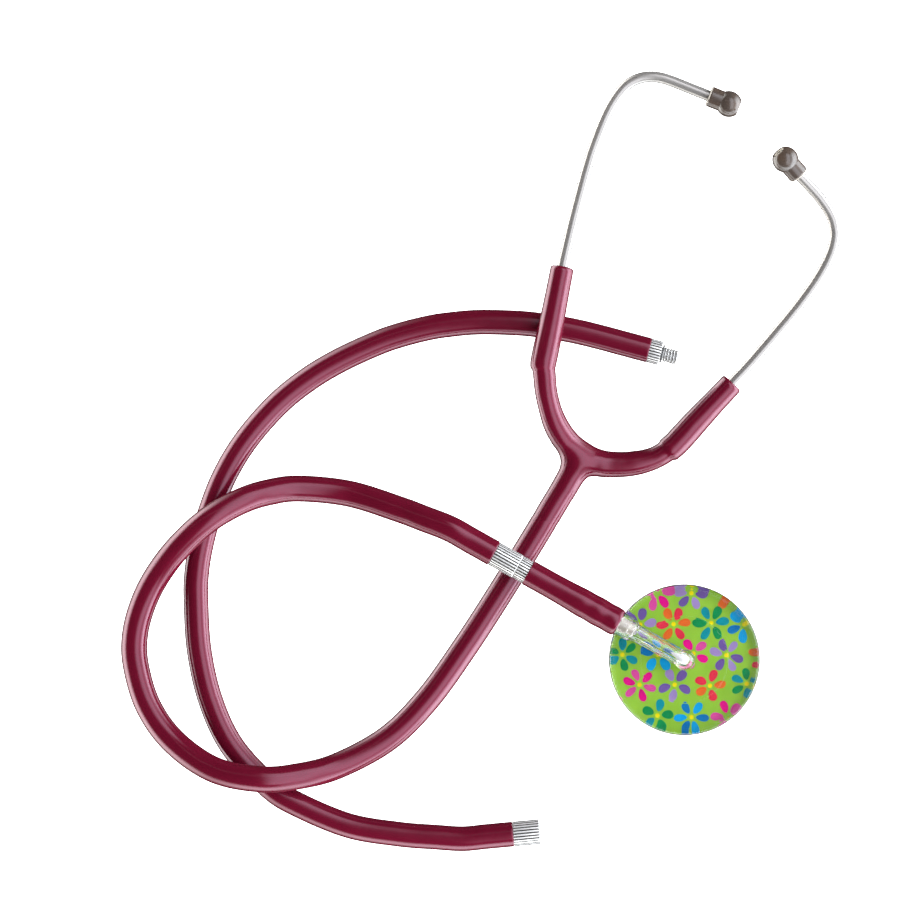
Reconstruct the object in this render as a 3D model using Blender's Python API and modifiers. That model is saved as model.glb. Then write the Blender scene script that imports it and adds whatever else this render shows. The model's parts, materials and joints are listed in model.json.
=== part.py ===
"""Stethoscope with a clear flower-print chestpiece and its spare extension tube.

Everything lies on a table (z = 0), seen from above: ear tips towards +Y, chestpiece towards -Y.
Routes, profiles and sizes are in millimetres; metres() turns them into Blender's metres.
"""
import math

import bmesh
import bpy
from mathutils import Vector

# ---------------------------------------------------------------- driving dimensions, mm
GAP = 0.3                      # between pieces that touch

HOSE_R = 5.0                   # moulded PVC tubing, outside
SPARE_R = 4.75                 # spare extension tubing, outside
COUPLING_Z = 15.1              # height of the coupling, short hose and chestpiece stem

EAR_TUBE_R = 2.1
EAR_TUBE_BORE_R = 1.4
TIP_R = 4.95                   # mushroom ear tip
TIP_LENGTH = 12.4
TUBE_IN_TIP = 7.6              # how far the ear tube reaches into its tip

FERRULE_R = 3.6                # olive pressed on the ear tube's inner end
FLEX_BALL_R = 4.5              # round end of a Y arm, where the moulding bends
LIMB_BORE_R = 2.6              # air way inside the Y

SLEEVE_R = 4.75                # knurled screw socket
SLEEVE_LENGTH = 10.1
COLLAR_R = 4.6                 # knurled collar of the screw plug
COLLAR_LENGTH = 4.3
KNURL_RIBS = 26
KNURL_DEPTH = 0.3
NOSE_LENGTH = 6.7
THREAD_CREST_R = 3.0
THREAD_ROOT_R = 2.45
THREAD_PITCH = 1.1
SHANK_LENGTH = 1.5
SHANK_R = 2.4
BARB_LENGTH = 9.0
BARB_R = 2.6
BARB_RIDGE_R = 3.0
BARBED_BORE_R = 3.3            # hose bore stretched over a barb
AIR_R = 1.3
HOSE_END_LENGTH = 9.65         # hose stretched over a coupling's barb
STRAIGHT_LEAD = 9.0            # straight run where plain tubing meets a stretched end

DISC_R = 28.575                # chestpiece, 2 1/4 inch across
DISC_TOP = 12.6
STEM_R = 3.3
STEM_COLLAR_R = 4.35
STEM_COLLAR_START = 21.7       # from the disc's centre
STEM_LENGTH = 28.3
STEM_BALL_R = 3.95
STEM_BORE_R = 1.9

# ---------------------------------------------------------------- places, mm
DISC_CENTRE = Vector((0.0, -97.0, 0.0))
STEM_ANGLE = math.radians(150.8)            # from the disc towards the coupling
COUPLING_SHOULDER = 72.15                   # plug shoulder, from the disc's centre

LEFT_PIVOT = Vector((-53.3, 14.95, 16.0))   # where the Y's left arm bends
LEFT_SLEEVE_END = Vector((-46.2, 51.65, 13.06))
RIGHT_PIVOT = Vector((-3.75, -15.45, 5.2))
RIGHT_SLEEVE_END = Vector((18.2, 7.85, 5.2))
LEFT_TILT = math.radians(-2.7)              # ear tube's plane, turned about its sleeve
RIGHT_TILT = math.radians(15.0)

# Ear tubes in plan: from just outside the sleeve to the ear tip's base.
LEFT_TUBE_PLAN = [(-45.8, 53.6), (-42.1, 69.5), (-37.3, 87.6), (-34.4, 97.0), (-30.2, 107.8),
                  (-26.6, 114.6), (-22.4, 120.0), (-17.9, 122.8), (-13.4, 123.7), (-8.9, 123.3),
                  (-4.4, 121.9), (2.0, 119.35)]
RIGHT_TUBE_PLAN = [(19.5, 9.3), (26.0, 16.3), (39.5, 32.3), (45.5, 40.0), (50.5, 47.2),
                   (54.5, 54.5), (56.6, 60.6), (57.0, 65.7), (55.4, 71.4), (51.8, 77.0),
                   (48.2, 81.2)]
LEFT_TIP_BASE = (9.3, 116.45)
RIGHT_TIP_BASE = (43.3, 86.3)
LEFT_TIP_HEADING = math.radians(-21.8)
RIGHT_TIP_HEADING = math.radians(131.5)

# The Y moulding: (x, y, z, outside radius).
LEFT_LIMB = [(-52.95, 10.15, 15.9, 4.55), (-52.6, 6.0, 15.5, 4.35), (-51.9, 2.0, 14.7, 4.2),
             (-50.6, -3.0, 13.2, 4.4), (-48.9, -7.0, 11.6, 4.7), (-46.2, -11.5, 9.7, 4.9),
             (-43.4, -16.0, 7.8, 5.1)]
JUNCTION = (-40.2, -20.2, 6.1, 5.3)
RIGHT_LIMB = [(-34.5, -22.3, 5.5, 5.2), (-28.2, -23.1, 5.2, 5.0), (-22.5, -22.9, 5.2, 4.7),
              (-16.8, -22.0, 5.2, 4.3), (-13.0, -20.6, 5.2, 4.35), (-10.2, -19.0, 5.2, 4.4),
              (-7.7, -17.75, 5.2, 4.6)]
STEM_LIMB = [(-38.5, -20.5, 6.1, 4.4), (-41.6, -25.5, 5.7, 5.1), (-44.6, -30.4, 5.4, 5.1),
             (-47.3, -34.9, 5.1, 4.85), (-51.2, -41.4, 5.0, 5.0)]

# Main tubing, from the Y's stem to the coupling; it humps over the spare tube twice.
MAIN_ROUTE = [(-51.35, -41.66, 5.0), (-55.8, -49.1, 5.0), (-63.4, -61.5, 5.0), (-71.0, -73.7, 5.0),
              (-82.9, -92.0, 5.0), (-97.0, -111.6, 5.0), (-112.0, -126.6, 5.4),
              (-130.7, -136.9, 8.0), (-145.5, -140.9, 12.4), (-160.6, -142.1, 15.3),
              (-178.1, -138.5, 12.2), (-193.3, -128.0, 7.2), (-203.0, -114.5, 5.3),
              (-207.7, -99.0, 5.0), (-208.0, -87.6, 5.1), (-205.0, -76.0, 6.0),
              (-199.6, -65.2, 8.6), (-191.3, -54.3, 12.8), (-180.2, -44.1, 15.3),
              (-167.6, -36.9, 12.9), (-156.8, -33.5, 9.2), (-145.5, -32.2, 6.4),
              (-126.6, -34.2, 5.3), (-107.8, -40.1, 9.6), (-99.0, -43.4, 12.6)]

# Spare tubing, flat on the table, from its screw plug to its screw socket.
SPARE_ROUTE = [(-41.4, 27.4), (-51.6, 29.2), (-62.2, 30.4),
               (-77.5, 30.8), (-88.7, 29.9), (-97.0, 28.6), (-107.6, 25.9), (-116.9, 22.6),
               (-130.5, 16.3), (-142.5, 9.1), (-154.3, -0.5), (-166.1, -14.1), (-174.4, -28.0),
               (-180.0, -42.6), (-183.2, -54.7), (-184.7, -64.9), (-184.9, -74.4),
               (-183.7, -93.4), (-179.3, -112.6), (-171.1, -129.9), (-156.9, -145.2),
               (-145.9, -152.1), (-126.9, -159.9), (-107.8, -163.1), (-94.0, -164.2)]
SPARE_PLUG_END = Vector((-13.55, 20.2, SPARE_R))       # where the tubing ends
SPARE_PLUG_HEADING = math.radians(-15.0)
SPARE_SOCKET_END = Vector((-65.06, -163.05, SPARE_R))
SPARE_SOCKET_HEADING = math.radians(5.3)

HOSE_POINT_SPACING = 11.0
EAR_TUBE_SPACING = 4.6
LIMB_SPACING = 4.0
LATHE_STEPS = 16
DISC_STEPS = 40

COLOURS = {
    "burgundy_pvc": ((0.16, 0.012, 0.035), 0.32, 0.0),
    "chrome": ((0.80, 0.80, 0.78), 0.12, 1.0),
    "knurled_steel": ((0.72, 0.72, 0.70), 0.28, 1.0),
    "spring_steel": ((0.45, 0.45, 0.47), 0.35, 1.0),
    "smoky_silicone": ((0.12, 0.10, 0.09), 0.20, 0.0),
    "cream_plastic": ((0.82, 0.79, 0.72), 0.40, 0.0),
    "clear_acrylic": ((0.90, 0.93, 0.92), 0.04, 0.0),
    "flower_print": ((0.29, 0.58, 0.05), 0.35, 0.0),
    "white_plastic": ((0.85, 0.85, 0.84), 0.40, 0.0),
    "black_rubber": ((0.02, 0.02, 0.02), 0.60, 0.0),
}


# ---------------------------------------------------------------- helpers
def metres(value):
    """Millimetres, as a number or a vector, in metres."""
    return value * 0.001


def heading(angle):
    """Unit vector in plan."""
    return Vector((math.cos(angle), math.sin(angle), 0.0))


def new_collection(name):
    collection = bpy.data.collections.new(name)
    bpy.context.scene.collection.children.link(collection)
    return collection


def make_materials():
    made = {}
    for name, (colour, roughness, metallic) in COLOURS.items():
        material = bpy.data.materials.new(name)
        material.use_nodes = True
        shader = material.node_tree.nodes["Principled BSDF"]
        shader.inputs["Base Color"].default_value = (*colour, 1.0)
        shader.inputs["Roughness"].default_value = roughness
        shader.inputs["Metallic"].default_value = metallic
        made[name] = material
    return made


def add_object(name, data, collection):
    piece = bpy.data.objects.new(name, data)
    collection.objects.link(piece)
    if collection is CUTTERS:
        piece.hide_render = True
        piece.display_type = "WIRE"
    return piece


def finish(piece, material_name, sharp_degrees=35.0):
    """Give a piece its material and smooth round sides."""
    piece.data.materials.clear()
    piece.data.materials.append(MATERIALS[material_name])
    piece.data.shade_smooth()
    piece.data.set_sharp_from_angle(angle=math.radians(sharp_degrees))
    return piece


def place(piece, origin, direction):
    """Put a piece's local origin at a point in mm, with its local +Z along a direction."""
    piece.location = metres(Vector(origin))
    piece.rotation_mode = "QUATERNION"
    piece.rotation_quaternion = Vector(direction).to_track_quat("Z", "Y")
    return piece


def smooth_route(points, spacing):
    """Points at even spacing along a Catmull-Rom curve through the route's own points."""
    route = [Vector(p) for p in points]
    route = [2 * route[0] - route[1]] + route + [2 * route[-1] - route[-2]]
    fine = []
    for a, b, c, d in zip(route, route[1:], route[2:], route[3:]):
        for step in range(12):
            t = step / 12
            fine.append(0.5 * (2 * b + (c - a) * t + (2 * a - 5 * b + 4 * c - d) * t * t
                               + (3 * b - a - 3 * c + d) * t ** 3))
    fine.append(route[-2])
    lengths = [0.0]
    for p, q in zip(fine, fine[1:]):
        lengths.append(lengths[-1] + (q - p).length)
    count = max(2, round(lengths[-1] / spacing))
    even = []
    index = 0
    for step in range(count + 1):
        target = lengths[-1] * step / count
        while index < len(fine) - 2 and lengths[index + 1] < target:
            index += 1
        span = lengths[index + 1] - lengths[index]
        even.append(fine[index].lerp(fine[index + 1], (target - lengths[index]) / span))
    return even


def curve_object(name, points, radii, collection, resolution=2):
    """Tube along a POLY spline, in mm; radii is one number or one for each point."""
    curve = bpy.data.curves.new(name, "CURVE")
    curve.dimensions = "3D"
    curve.twist_mode = "Z_UP"
    curve.bevel_resolution = resolution
    curve.use_fill_caps = True
    if isinstance(radii, float):
        radii = [radii] * len(points)
    curve.bevel_depth = metres(radii[0])
    spline = curve.splines.new("POLY")
    spline.points.add(len(points) - 1)
    for spot, point, radius in zip(spline.points, points, radii):
        spot.co = (*metres(Vector(point[:3])), 1.0)
        spot.radius = radius / radii[0]
    return add_object(name, curve, collection)


def tube(name, points, radii, collection, resolution=2):
    """The same tube as a closed mesh, ready for Boolean work."""
    source = curve_object(name + "_path", points, radii, collection, resolution)
    evaluated = source.evaluated_get(bpy.context.evaluated_depsgraph_get())
    mesh = bpy.data.meshes.new_from_object(evaluated)
    bm = bmesh.new()
    bm.from_mesh(mesh)
    bmesh.ops.remove_doubles(bm, verts=bm.verts, dist=0.000001)
    bmesh.ops.recalc_face_normals(bm, faces=bm.faces)
    bm.to_mesh(mesh)
    bm.free()
    piece = add_object(name, mesh, collection)
    piece.matrix_world = source.matrix_world
    bpy.data.objects.remove(source)
    return piece


def turned(name, profile, collection, closed=True, steps=LATHE_STEPS):
    """Piece turned about its local Z from (radius, height) points in mm.

    The profile runs down its outer side; an open one starts and ends on the axis.
    """
    mesh = bpy.data.meshes.new(name)
    spots = [(metres(r), 0.0, metres(z)) for r, z in profile]
    edges = [(i, i + 1) for i in range(len(spots) - 1)]
    if closed:
        edges.append((len(spots) - 1, 0))
    mesh.from_pydata(spots, edges, [])
    piece = add_object(name, mesh, collection)
    lathe = piece.modifiers.new("Lathe", "SCREW")
    lathe.axis = "Z"
    lathe.steps = steps
    lathe.render_steps = steps
    lathe.use_merge_vertices = True
    lathe.merge_threshold = 0.000005
    lathe.use_normal_calculate = False
    return piece


def boolean(piece, other, operation):
    modifier = piece.modifiers.new(operation.title() + "_" + other.name, "BOOLEAN")
    modifier.operation = operation
    modifier.solver = "EXACT"
    modifier.object = other


def cut(piece, *cutters):
    for cutter in cutters:
        boolean(piece, cutter, "DIFFERENCE")
    return piece


def join(piece, *others):
    for other in others:
        boolean(piece, other, "UNION")
    return piece


def arc(centre_z, radius, start, end, count):
    """Profile points on an arc about (0, centre_z); angles in degrees up from the +r axis."""
    angles = [math.radians(start + (end - start) * i / (count - 1)) for i in range(count)]
    return [(radius * math.cos(a), centre_z + radius * math.sin(a)) for a in angles]


def pivot(name, position, direction, children):
    """Empty on a joint's axis; its children keep their places."""
    empty = bpy.data.objects.new(name, None)
    MODEL.objects.link(empty)
    empty.empty_display_size = 0.01
    place(empty, position, direction)
    bpy.context.view_layer.update()
    for child in children:
        child.parent = empty
        child.matrix_parent_inverse = empty.matrix_world.inverted()
    return empty


# ---------------------------------------------------------------- headset
def sleeve_frame(pivot_point, sleeve_end):
    """Length and unit direction of a straight Y arm."""
    axis = sleeve_end - pivot_point
    return axis.length, axis.normalized()


def tilted(plan, sleeve_end, direction, side, tilt):
    """Lift plan points into the ear tube's plane, turned by tilt about the sleeve's axis."""
    flat = Vector((direction.x, direction.y, 0.0))
    slope = direction.z / flat.length
    flat.normalize()
    across = Vector((flat.y, -flat.x, 0.0)) * side
    spots = []
    for x, y in plan:
        offset = Vector((x, y, 0.0)) - Vector((sleeve_end.x, sleeve_end.y, 0.0))
        height = sleeve_end.z + offset.dot(flat) * slope + offset.dot(across) * math.tan(tilt)
        spots.append(Vector((x, y, height)))
    return spots


def make_arm(side, length, origin, direction):
    """Moulded arm: round end at the flex pivot, swelling over the ferrule, rounded lip."""
    lip = [(3.5, length), (4.15, length - 0.5), (4.4, length - 1.5)]
    side_wall = [(4.45, length - 9.0), (4.7, 17.0), (4.95, 11.0), (5.1, 7.0), (5.0, 3.5), (4.6, 1.0)]
    ball = arc(0.0, FLEX_BALL_R, 0.0, -67.8, 5)
    inner = [(1.7, 2.0), (FERRULE_R + GAP, 2.5), (FERRULE_R + GAP, 8.9),
             (EAR_TUBE_R + GAP, 9.6), (EAR_TUBE_R + GAP, length)]
    arm = turned("y_arm_" + side, lip + side_wall + ball + inner, MODEL)
    return finish(place(arm, origin, direction), "burgundy_pvc")


def make_ear_tube(side, sleeve_start, sleeve_end, bend, tip_base, tip_direction):
    """Chromed tube: straight in its sleeve, one bent run, straight into the ear tip."""
    straight_end = tip_base + tip_direction * TUBE_IN_TIP
    run = smooth_route([sleeve_end] + bend + [tip_base], EAR_TUBE_SPACING)
    outside = [sleeve_start] + run + [straight_end]
    first = (run[0] - sleeve_start).normalized()
    inside = [sleeve_start - first] + run + [straight_end + tip_direction]
    body = tube("ear_tube_" + side, outside, EAR_TUBE_R, MODEL, resolution=3)
    bore = tube("ear_tube_bore_" + side, inside, EAR_TUBE_BORE_R, CUTTERS, resolution=1)
    return finish(cut(body, bore), "chrome")


def make_ferrule(side, origin, direction):
    bore = EAR_TUBE_R + GAP
    profile = [(FERRULE_R - 0.7, 8.2), (FERRULE_R, 6.6), (FERRULE_R, 4.6), (FERRULE_R - 0.5, 3.2),
               (bore, 3.2), (bore, 8.2)]
    ferrule = turned("ear_tube_ferrule_" + side, profile, MODEL)
    return finish(place(ferrule, origin, direction), "knurled_steel")


def make_tip(side, origin, direction):
    """Soft mushroom tip with a pocket for its bush and a sound hole in the flat front."""
    front = [(AIR_R, TIP_LENGTH), (2.3, TIP_LENGTH)]
    dome = [(3.6, 11.6), (4.55, 10.1), (TIP_R, 8.2), (4.75, 6.5), (4.2, 5.3), (3.75, 4.8)]
    base = [(3.8, 0.4), (3.6, 0.0), (3.3, 0.0)]
    inner = [(3.3, 4.4), (EAR_TUBE_R + GAP, 4.4), (EAR_TUBE_R + GAP, TUBE_IN_TIP + GAP),
             (AIR_R, TUBE_IN_TIP + GAP)]
    tip = turned("ear_tip_" + side, front + dome + base + inner, MODEL)
    return finish(place(tip, origin, direction), "smoky_silicone")


def make_bush(side, origin, direction):
    bore = EAR_TUBE_R + GAP
    bush = turned("ear_tip_bush_" + side, [(3.0, 4.1), (3.0, 0.2), (bore, 0.2), (bore, 4.1)], MODEL)
    return finish(place(bush, origin, direction), "cream_plastic")


def make_headset_side(side, pivot_point, sleeve_end, plan, tip_base, tip_heading, turn, tilt):
    length, direction = sleeve_frame(pivot_point, sleeve_end)
    reach = heading(tip_heading)
    beyond = (tip_base[0] + reach.x, tip_base[1] + reach.y)
    spots = tilted(list(plan) + [tip_base, beyond], sleeve_end, direction, turn, tilt)
    base, tip_direction = spots[-2], (spots[-1] - spots[-2]).normalized()
    arm = make_arm(side, length, pivot_point, direction)
    chrome = make_ear_tube(side, pivot_point + direction * 2.9, sleeve_end, spots[:-2], base, tip_direction)
    ferrule = make_ferrule(side, pivot_point, direction)
    bush = make_bush(side, base, tip_direction)
    tip = make_tip(side, base, tip_direction)
    flex = pivot("flex_pivot_" + side, pivot_point, (0, 0, 1), [arm])
    turn_axis = pivot("ear_tube_axis_" + side, sleeve_end, direction, [chrome, ferrule, bush])
    pull_axis = pivot("ear_tip_axis_" + side, base, tip_direction, [tip])
    turn_axis.parent = flex
    turn_axis.matrix_parent_inverse = flex.matrix_world.inverted()
    pull_axis.parent = turn_axis
    pull_axis.matrix_parent_inverse = turn_axis.matrix_world.inverted()


def make_y_junction():
    """Y moulding: one tube from arm to arm through the junction, and the stem joined to it."""
    bow = LEFT_LIMB + [JUNCTION] + RIGHT_LIMB
    bow_places = smooth_route([p[:3] for p in bow], LIMB_SPACING)
    stem_places = smooth_route([p[:3] for p in STEM_LIMB], LIMB_SPACING)
    body = tube("y_junction", bow_places, limb_radii(bow, bow_places), MODEL, resolution=3)
    stem = tube("y_stem_outside", stem_places, limb_radii(STEM_LIMB, stem_places), CUTTERS, resolution=3)
    bow_bore = tube("y_bow_bore", lengthened(bow_places, 1.0, 1.0), LIMB_BORE_R, CUTTERS)
    stem_bore = tube("y_stem_bore", lengthened(stem_places, 0.0, 1.0), LIMB_BORE_R - 0.2, CUTTERS)
    join(body, stem)
    cut(body, bow_bore, stem_bore)
    return finish(body, "burgundy_pvc")


def limb_radii(limb, places):
    """Outside radius at each place, from the nearest two of the limb's own points."""
    radii = []
    for spot in places:
        ranked = sorted(limb, key=lambda p: (Vector(p[:3]) - spot).length)
        near, far = ranked[0], ranked[1]
        near_gap = (Vector(near[:3]) - spot).length
        far_gap = (Vector(far[:3]) - spot).length
        radii.append((near[3] * far_gap + far[3] * near_gap) / (near_gap + far_gap))
    return radii


def lengthened(points, start, end):
    """The same route with its ends carried on by start and end."""
    route = [Vector(p) for p in points]
    route[0] = route[0] + (route[0] - route[1]).normalized() * start
    route[-1] = route[-1] + (route[-1] - route[-2]).normalized() * end
    return route


def make_leaf_spring():
    """Flat steel bow inside the Y, standing on edge, from one arm to the other."""
    bow = LEFT_LIMB + [JUNCTION] + RIGHT_LIMB
    curve = bpy.data.curves.new("leaf_spring_path", "CURVE")
    curve.dimensions = "3D"
    curve.twist_mode = "Z_UP"
    curve.extrude = metres(1.6)
    spots = smooth_route([p[:3] for p in bow], LIMB_SPACING)
    spline = curve.splines.new("POLY")
    spline.points.add(len(spots) - 1)
    for knot, spot in zip(spline.points, spots):
        knot.co = (*metres(spot), 1.0)
    source = add_object("leaf_spring_path", curve, CUTTERS)
    evaluated = source.evaluated_get(bpy.context.evaluated_depsgraph_get())
    mesh = bpy.data.meshes.new_from_object(evaluated)
    bpy.data.objects.remove(source)
    spring = add_object("leaf_spring", mesh, MODEL)
    thickness = spring.modifiers.new("Thickness", "SOLIDIFY")
    thickness.thickness = metres(0.5)
    thickness.offset = 0.0
    return finish(spring, "spring_steel")


# ---------------------------------------------------------------- screw couplings
def knurled(name, radius, low, high):
    """Straight-knurled cylinder between two heights, as an extruded toothed outline."""
    curve = bpy.data.curves.new(name, "CURVE")
    curve.dimensions = "2D"
    curve.fill_mode = "BOTH"
    curve.extrude = metres((high - low) / 2)
    spline = curve.splines.new("POLY")
    spline.points.add(2 * KNURL_RIBS - 1)
    spline.use_cyclic_u = True
    for index, knot in enumerate(spline.points):
        angle = math.pi * index / KNURL_RIBS
        reach = metres(radius - KNURL_DEPTH * (index % 2))
        knot.co = (reach * math.cos(angle), reach * math.sin(angle), 0.0, 1.0)
    source = add_object(name + "_outline", curve, CUTTERS)
    evaluated = source.evaluated_get(bpy.context.evaluated_depsgraph_get())
    mesh = bpy.data.meshes.new_from_object(evaluated)
    bpy.data.objects.remove(source)
    bm = bmesh.new()
    bm.from_mesh(mesh)
    bmesh.ops.remove_doubles(bm, verts=bm.verts, dist=0.000001)
    bmesh.ops.recalc_face_normals(bm, faces=bm.faces)
    bmesh.ops.translate(bm, verts=bm.verts, vec=(0, 0, metres((high + low) / 2)))
    bm.to_mesh(mesh)
    bm.free()
    return mesh


def make_barb(name, top):
    """Hose barb below top, rooted 1 mm deep in its body: three ridges round the air way."""
    ridge = BARB_LENGTH / 3
    bottom = top - BARB_LENGTH
    outer = [(BARB_R, top + 1.0)]
    for step in range(3):
        high = top - step * ridge
        outer += [(BARB_R, high - ridge * 0.35), (BARB_RIDGE_R, high - ridge * 0.4)]
    return turned(name, outer + [(BARB_R - 0.2, bottom), (AIR_R, bottom), (AIR_R, top + 1.0)], CUTTERS)


def make_socket(name, origin, direction):
    """Screw socket: knurled sleeve, bored from its mouth (local z = 0), with a hose barb below."""
    bottom = -SLEEVE_LENGTH - BARB_LENGTH - 1.0
    body = finish(add_object(name, knurled(name, SLEEVE_R, -SLEEVE_LENGTH, 0.0), MODEL), "knurled_steel")
    barb = make_barb(name + "_barb", -SLEEVE_LENGTH)
    screw_bore = [(0.0, 1.0), (3.8, 1.0), (3.8, -1.3), (3.35, -1.5), (3.35, -8.3), (AIR_R, -8.6)]
    bore = turned(name + "_bore", screw_bore + [(AIR_R, bottom), (0.0, bottom)], CUTTERS, closed=False)
    for piece in (body, barb, bore):
        place(piece, origin, direction)
    join(body, barb)
    return cut(body, bore)


def make_thread(name):
    """Threaded nose: a grid rolled into a tube whose radius follows the helix."""
    low, high = SHANK_LENGTH - 0.4, NOSE_LENGTH
    around, rows = 12, round((high - low) / THREAD_PITCH * 4)
    bm = bmesh.new()
    bmesh.ops.create_grid(bm, x_segments=around, y_segments=rows, size=0.5)
    for vertex in bm.verts:
        turn = vertex.co.x + 0.5
        height = low + (high - low) * (vertex.co.y + 0.5)
        phase = (height / THREAD_PITCH - turn) % 1.0
        crest = 1.0 - abs(2.0 * phase - 1.0)
        fade = min(1.0, (height - low) / 0.8, (high - height) / 0.5)
        reach = metres(THREAD_ROOT_R + (THREAD_CREST_R - THREAD_ROOT_R) * crest * max(0.0, fade))
        angle = 2.0 * math.pi * turn
        vertex.co = (reach * math.cos(angle), reach * math.sin(angle), metres(height))
    bmesh.ops.remove_doubles(bm, verts=bm.verts, dist=0.000001)
    bmesh.ops.holes_fill(bm, edges=bm.edges, sides=0)
    bmesh.ops.recalc_face_normals(bm, faces=bm.faces)
    mesh = bpy.data.meshes.new(name)
    bm.to_mesh(mesh)
    bm.free()
    return mesh


def make_plug(name, origin, direction):
    """Screw plug: knurled collar below its shoulder (local z = 0), threaded nose above, barb below."""
    body = finish(add_object(name, knurled(name, COLLAR_R, -COLLAR_LENGTH, 0.0), MODEL), "knurled_steel")
    nose = add_object(name + "_thread", make_thread(name + "_thread"), CUTTERS)
    shank = turned(name + "_shank", [(0.0, SHANK_LENGTH), (SHANK_R, SHANK_LENGTH), (SHANK_R, -1.0),
                                     (0.0, -1.0)], CUTTERS, closed=False)
    barb = make_barb(name + "_barb", -COLLAR_LENGTH)
    bottom = -COLLAR_LENGTH - BARB_LENGTH - 1.0
    bore = turned(name + "_bore", [(0.0, NOSE_LENGTH + 1.0), (AIR_R, NOSE_LENGTH + 1.0), (AIR_R, bottom),
                                   (0.0, bottom)], CUTTERS, closed=False)
    for piece in (body, nose, shank, barb, bore):
        place(piece, origin, direction)
    join(body, shank, nose, barb)
    return cut(body, bore)


def make_o_ring(name, origin, direction):
    """Sealing ring round the plug's shank, just above its shoulder."""
    ring_r = 0.4
    centre_r = SHANK_R + GAP + ring_r
    angles = [-2.0 * math.pi * i / 6 for i in range(6)]
    profile = [(centre_r + ring_r * math.cos(a), 0.75 + ring_r * math.sin(a)) for a in angles]
    ring = turned(name, profile, MODEL)
    return finish(place(ring, origin, direction), "black_rubber")


def make_hose_end(name, origin, direction, outside):
    """Hose stretched over a barb: hollow, from its cut end (local z = 0) back."""
    profile = [(BARBED_BORE_R, 0.0), (outside - 0.25, 0.0), (outside, -0.3), (outside, -HOSE_END_LENGTH),
               (BARBED_BORE_R, -HOSE_END_LENGTH)]
    return finish(place(turned(name, profile, MODEL), origin, direction), "burgundy_pvc")


def make_hose(name, route, radius):
    """Plain tubing along a smooth route."""
    spots = smooth_route(route, HOSE_POINT_SPACING)
    hose = curve_object(name, spots, radius, MODEL)
    hose.data.materials.append(MATERIALS["burgundy_pvc"])
    return hose


# ---------------------------------------------------------------- main tubing and coupling
def on_stem_axis(distance):
    """Point on the line from the chestpiece's centre through the coupling."""
    return DISC_CENTRE + Vector((0, 0, COUPLING_Z)) + heading(STEM_ANGLE) * distance


def make_main_tubing():
    back = heading(STEM_ANGLE)
    mouth = COUPLING_SHOULDER + GAP
    hose_end = mouth + SLEEVE_LENGTH + GAP
    make_socket("coupling_socket", on_stem_axis(mouth), -back)
    make_hose_end("main_hose_end", on_stem_axis(hose_end), -back, HOSE_R)
    joint = hose_end + HOSE_END_LENGTH + GAP
    lead_in = [tuple(on_stem_axis(joint + STRAIGHT_LEAD)), tuple(on_stem_axis(joint))]
    make_hose("main_hose", MAIN_ROUTE + lead_in, HOSE_R)


def make_chest_hose():
    """Short hose, swollen in waves where the nipple's ridges stretch it."""
    back = heading(STEM_ANGLE)
    start = STEM_LENGTH + GAP
    end = COUPLING_SHOULDER - COLLAR_LENGTH - GAP
    nipple_bore, plug_bore, plain_bore = 3.4, BARBED_BORE_R, 2.2
    outer = [(HOSE_R, end), (HOSE_R, 47.0), (4.8, 42.5), (5.15, 40.0), (5.0, 37.5), (5.25, 35.0),
             (5.1, 32.5), (5.25, 30.0), (5.1, start)]
    inner = [(nipple_bore, start), (nipple_bore, 42.4), (plain_bore, 43.2), (plain_bore, end - 10.4),
             (plug_bore, end - 9.6), (plug_bore, end)]
    hose = turned("chest_hose", outer + inner, MODEL)
    return finish(place(hose, on_stem_axis(0.0), back), "burgundy_pvc")


def make_chest_nipple():
    """Cream barbed nipple: its pivot stub turns in the clear stem, its barb grips the hose."""
    outer = [(1.9, 41.6), (3.05, 39.6), (2.7, 39.2), (3.05, 35.6), (2.7, 35.2), (3.05, 31.6),
             (2.75, 31.2), (2.75, 24.6), (1.9, 24.6), (1.9, 21.9)]
    inner = [(1.2, 21.9), (1.2, 41.6)]
    nipple = turned("chest_nipple", outer + inner, MODEL)
    return finish(place(nipple, on_stem_axis(0.0), heading(STEM_ANGLE)), "cream_plastic")


def make_chest_tube():
    back = heading(STEM_ANGLE)
    shoulder = on_stem_axis(COUPLING_SHOULDER)
    plug = make_plug("coupling_plug", shoulder, back)
    ring = make_o_ring("coupling_o_ring", shoulder, back)
    hose = make_chest_hose()
    nipple = make_chest_nipple()
    pivot("coupling_axis", shoulder, back, [plug, ring, hose, nipple])


# ---------------------------------------------------------------- chestpiece
def disc(name, profile, material_name, closed=True):
    piece = turned(name, profile, MODEL, closed, DISC_STEPS)
    return finish(place(piece, DISC_CENTRE, (0, 0, 1)), material_name)


def port_cutter(name, radius, low, high):
    profile = [(0.0, high), (radius, high), (radius, low), (0.0, low)]
    return place(turned(name, profile, CUTTERS, closed=False), DISC_CENTRE, (0, 0, 1))


def make_chest_stem():
    """Clear stem: bored tube with a collar at the hose and a ball over the sound port."""
    bore_end = [(0.0, -1.6), (1.3, -1.1), (STEM_BORE_R, 0.3)]
    inner = bore_end + [(STEM_BORE_R, 21.6), (2.2, 21.6), (2.2, 24.3), (3.05, 24.3), (3.05, STEM_LENGTH)]
    collar = [(4.15, STEM_LENGTH), (STEM_COLLAR_R, STEM_LENGTH - 0.3), (STEM_COLLAR_R, 22.5),
              (STEM_R + 0.1, STEM_COLLAR_START)]
    ball = arc(0.0, STEM_BALL_R, 33.0, -90.0, 9)
    stem = turned("chest_stem", inner + collar + [(STEM_R, 3.0)] + ball[:-1] + [(0.0, -STEM_BALL_R)],
                  MODEL, closed=False)
    place(stem, on_stem_axis(0.0), heading(STEM_ANGLE))
    cut(stem, port_cutter("stem_port", 1.6, 8.0, COUPLING_Z))
    return finish(stem, "clear_acrylic")


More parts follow.
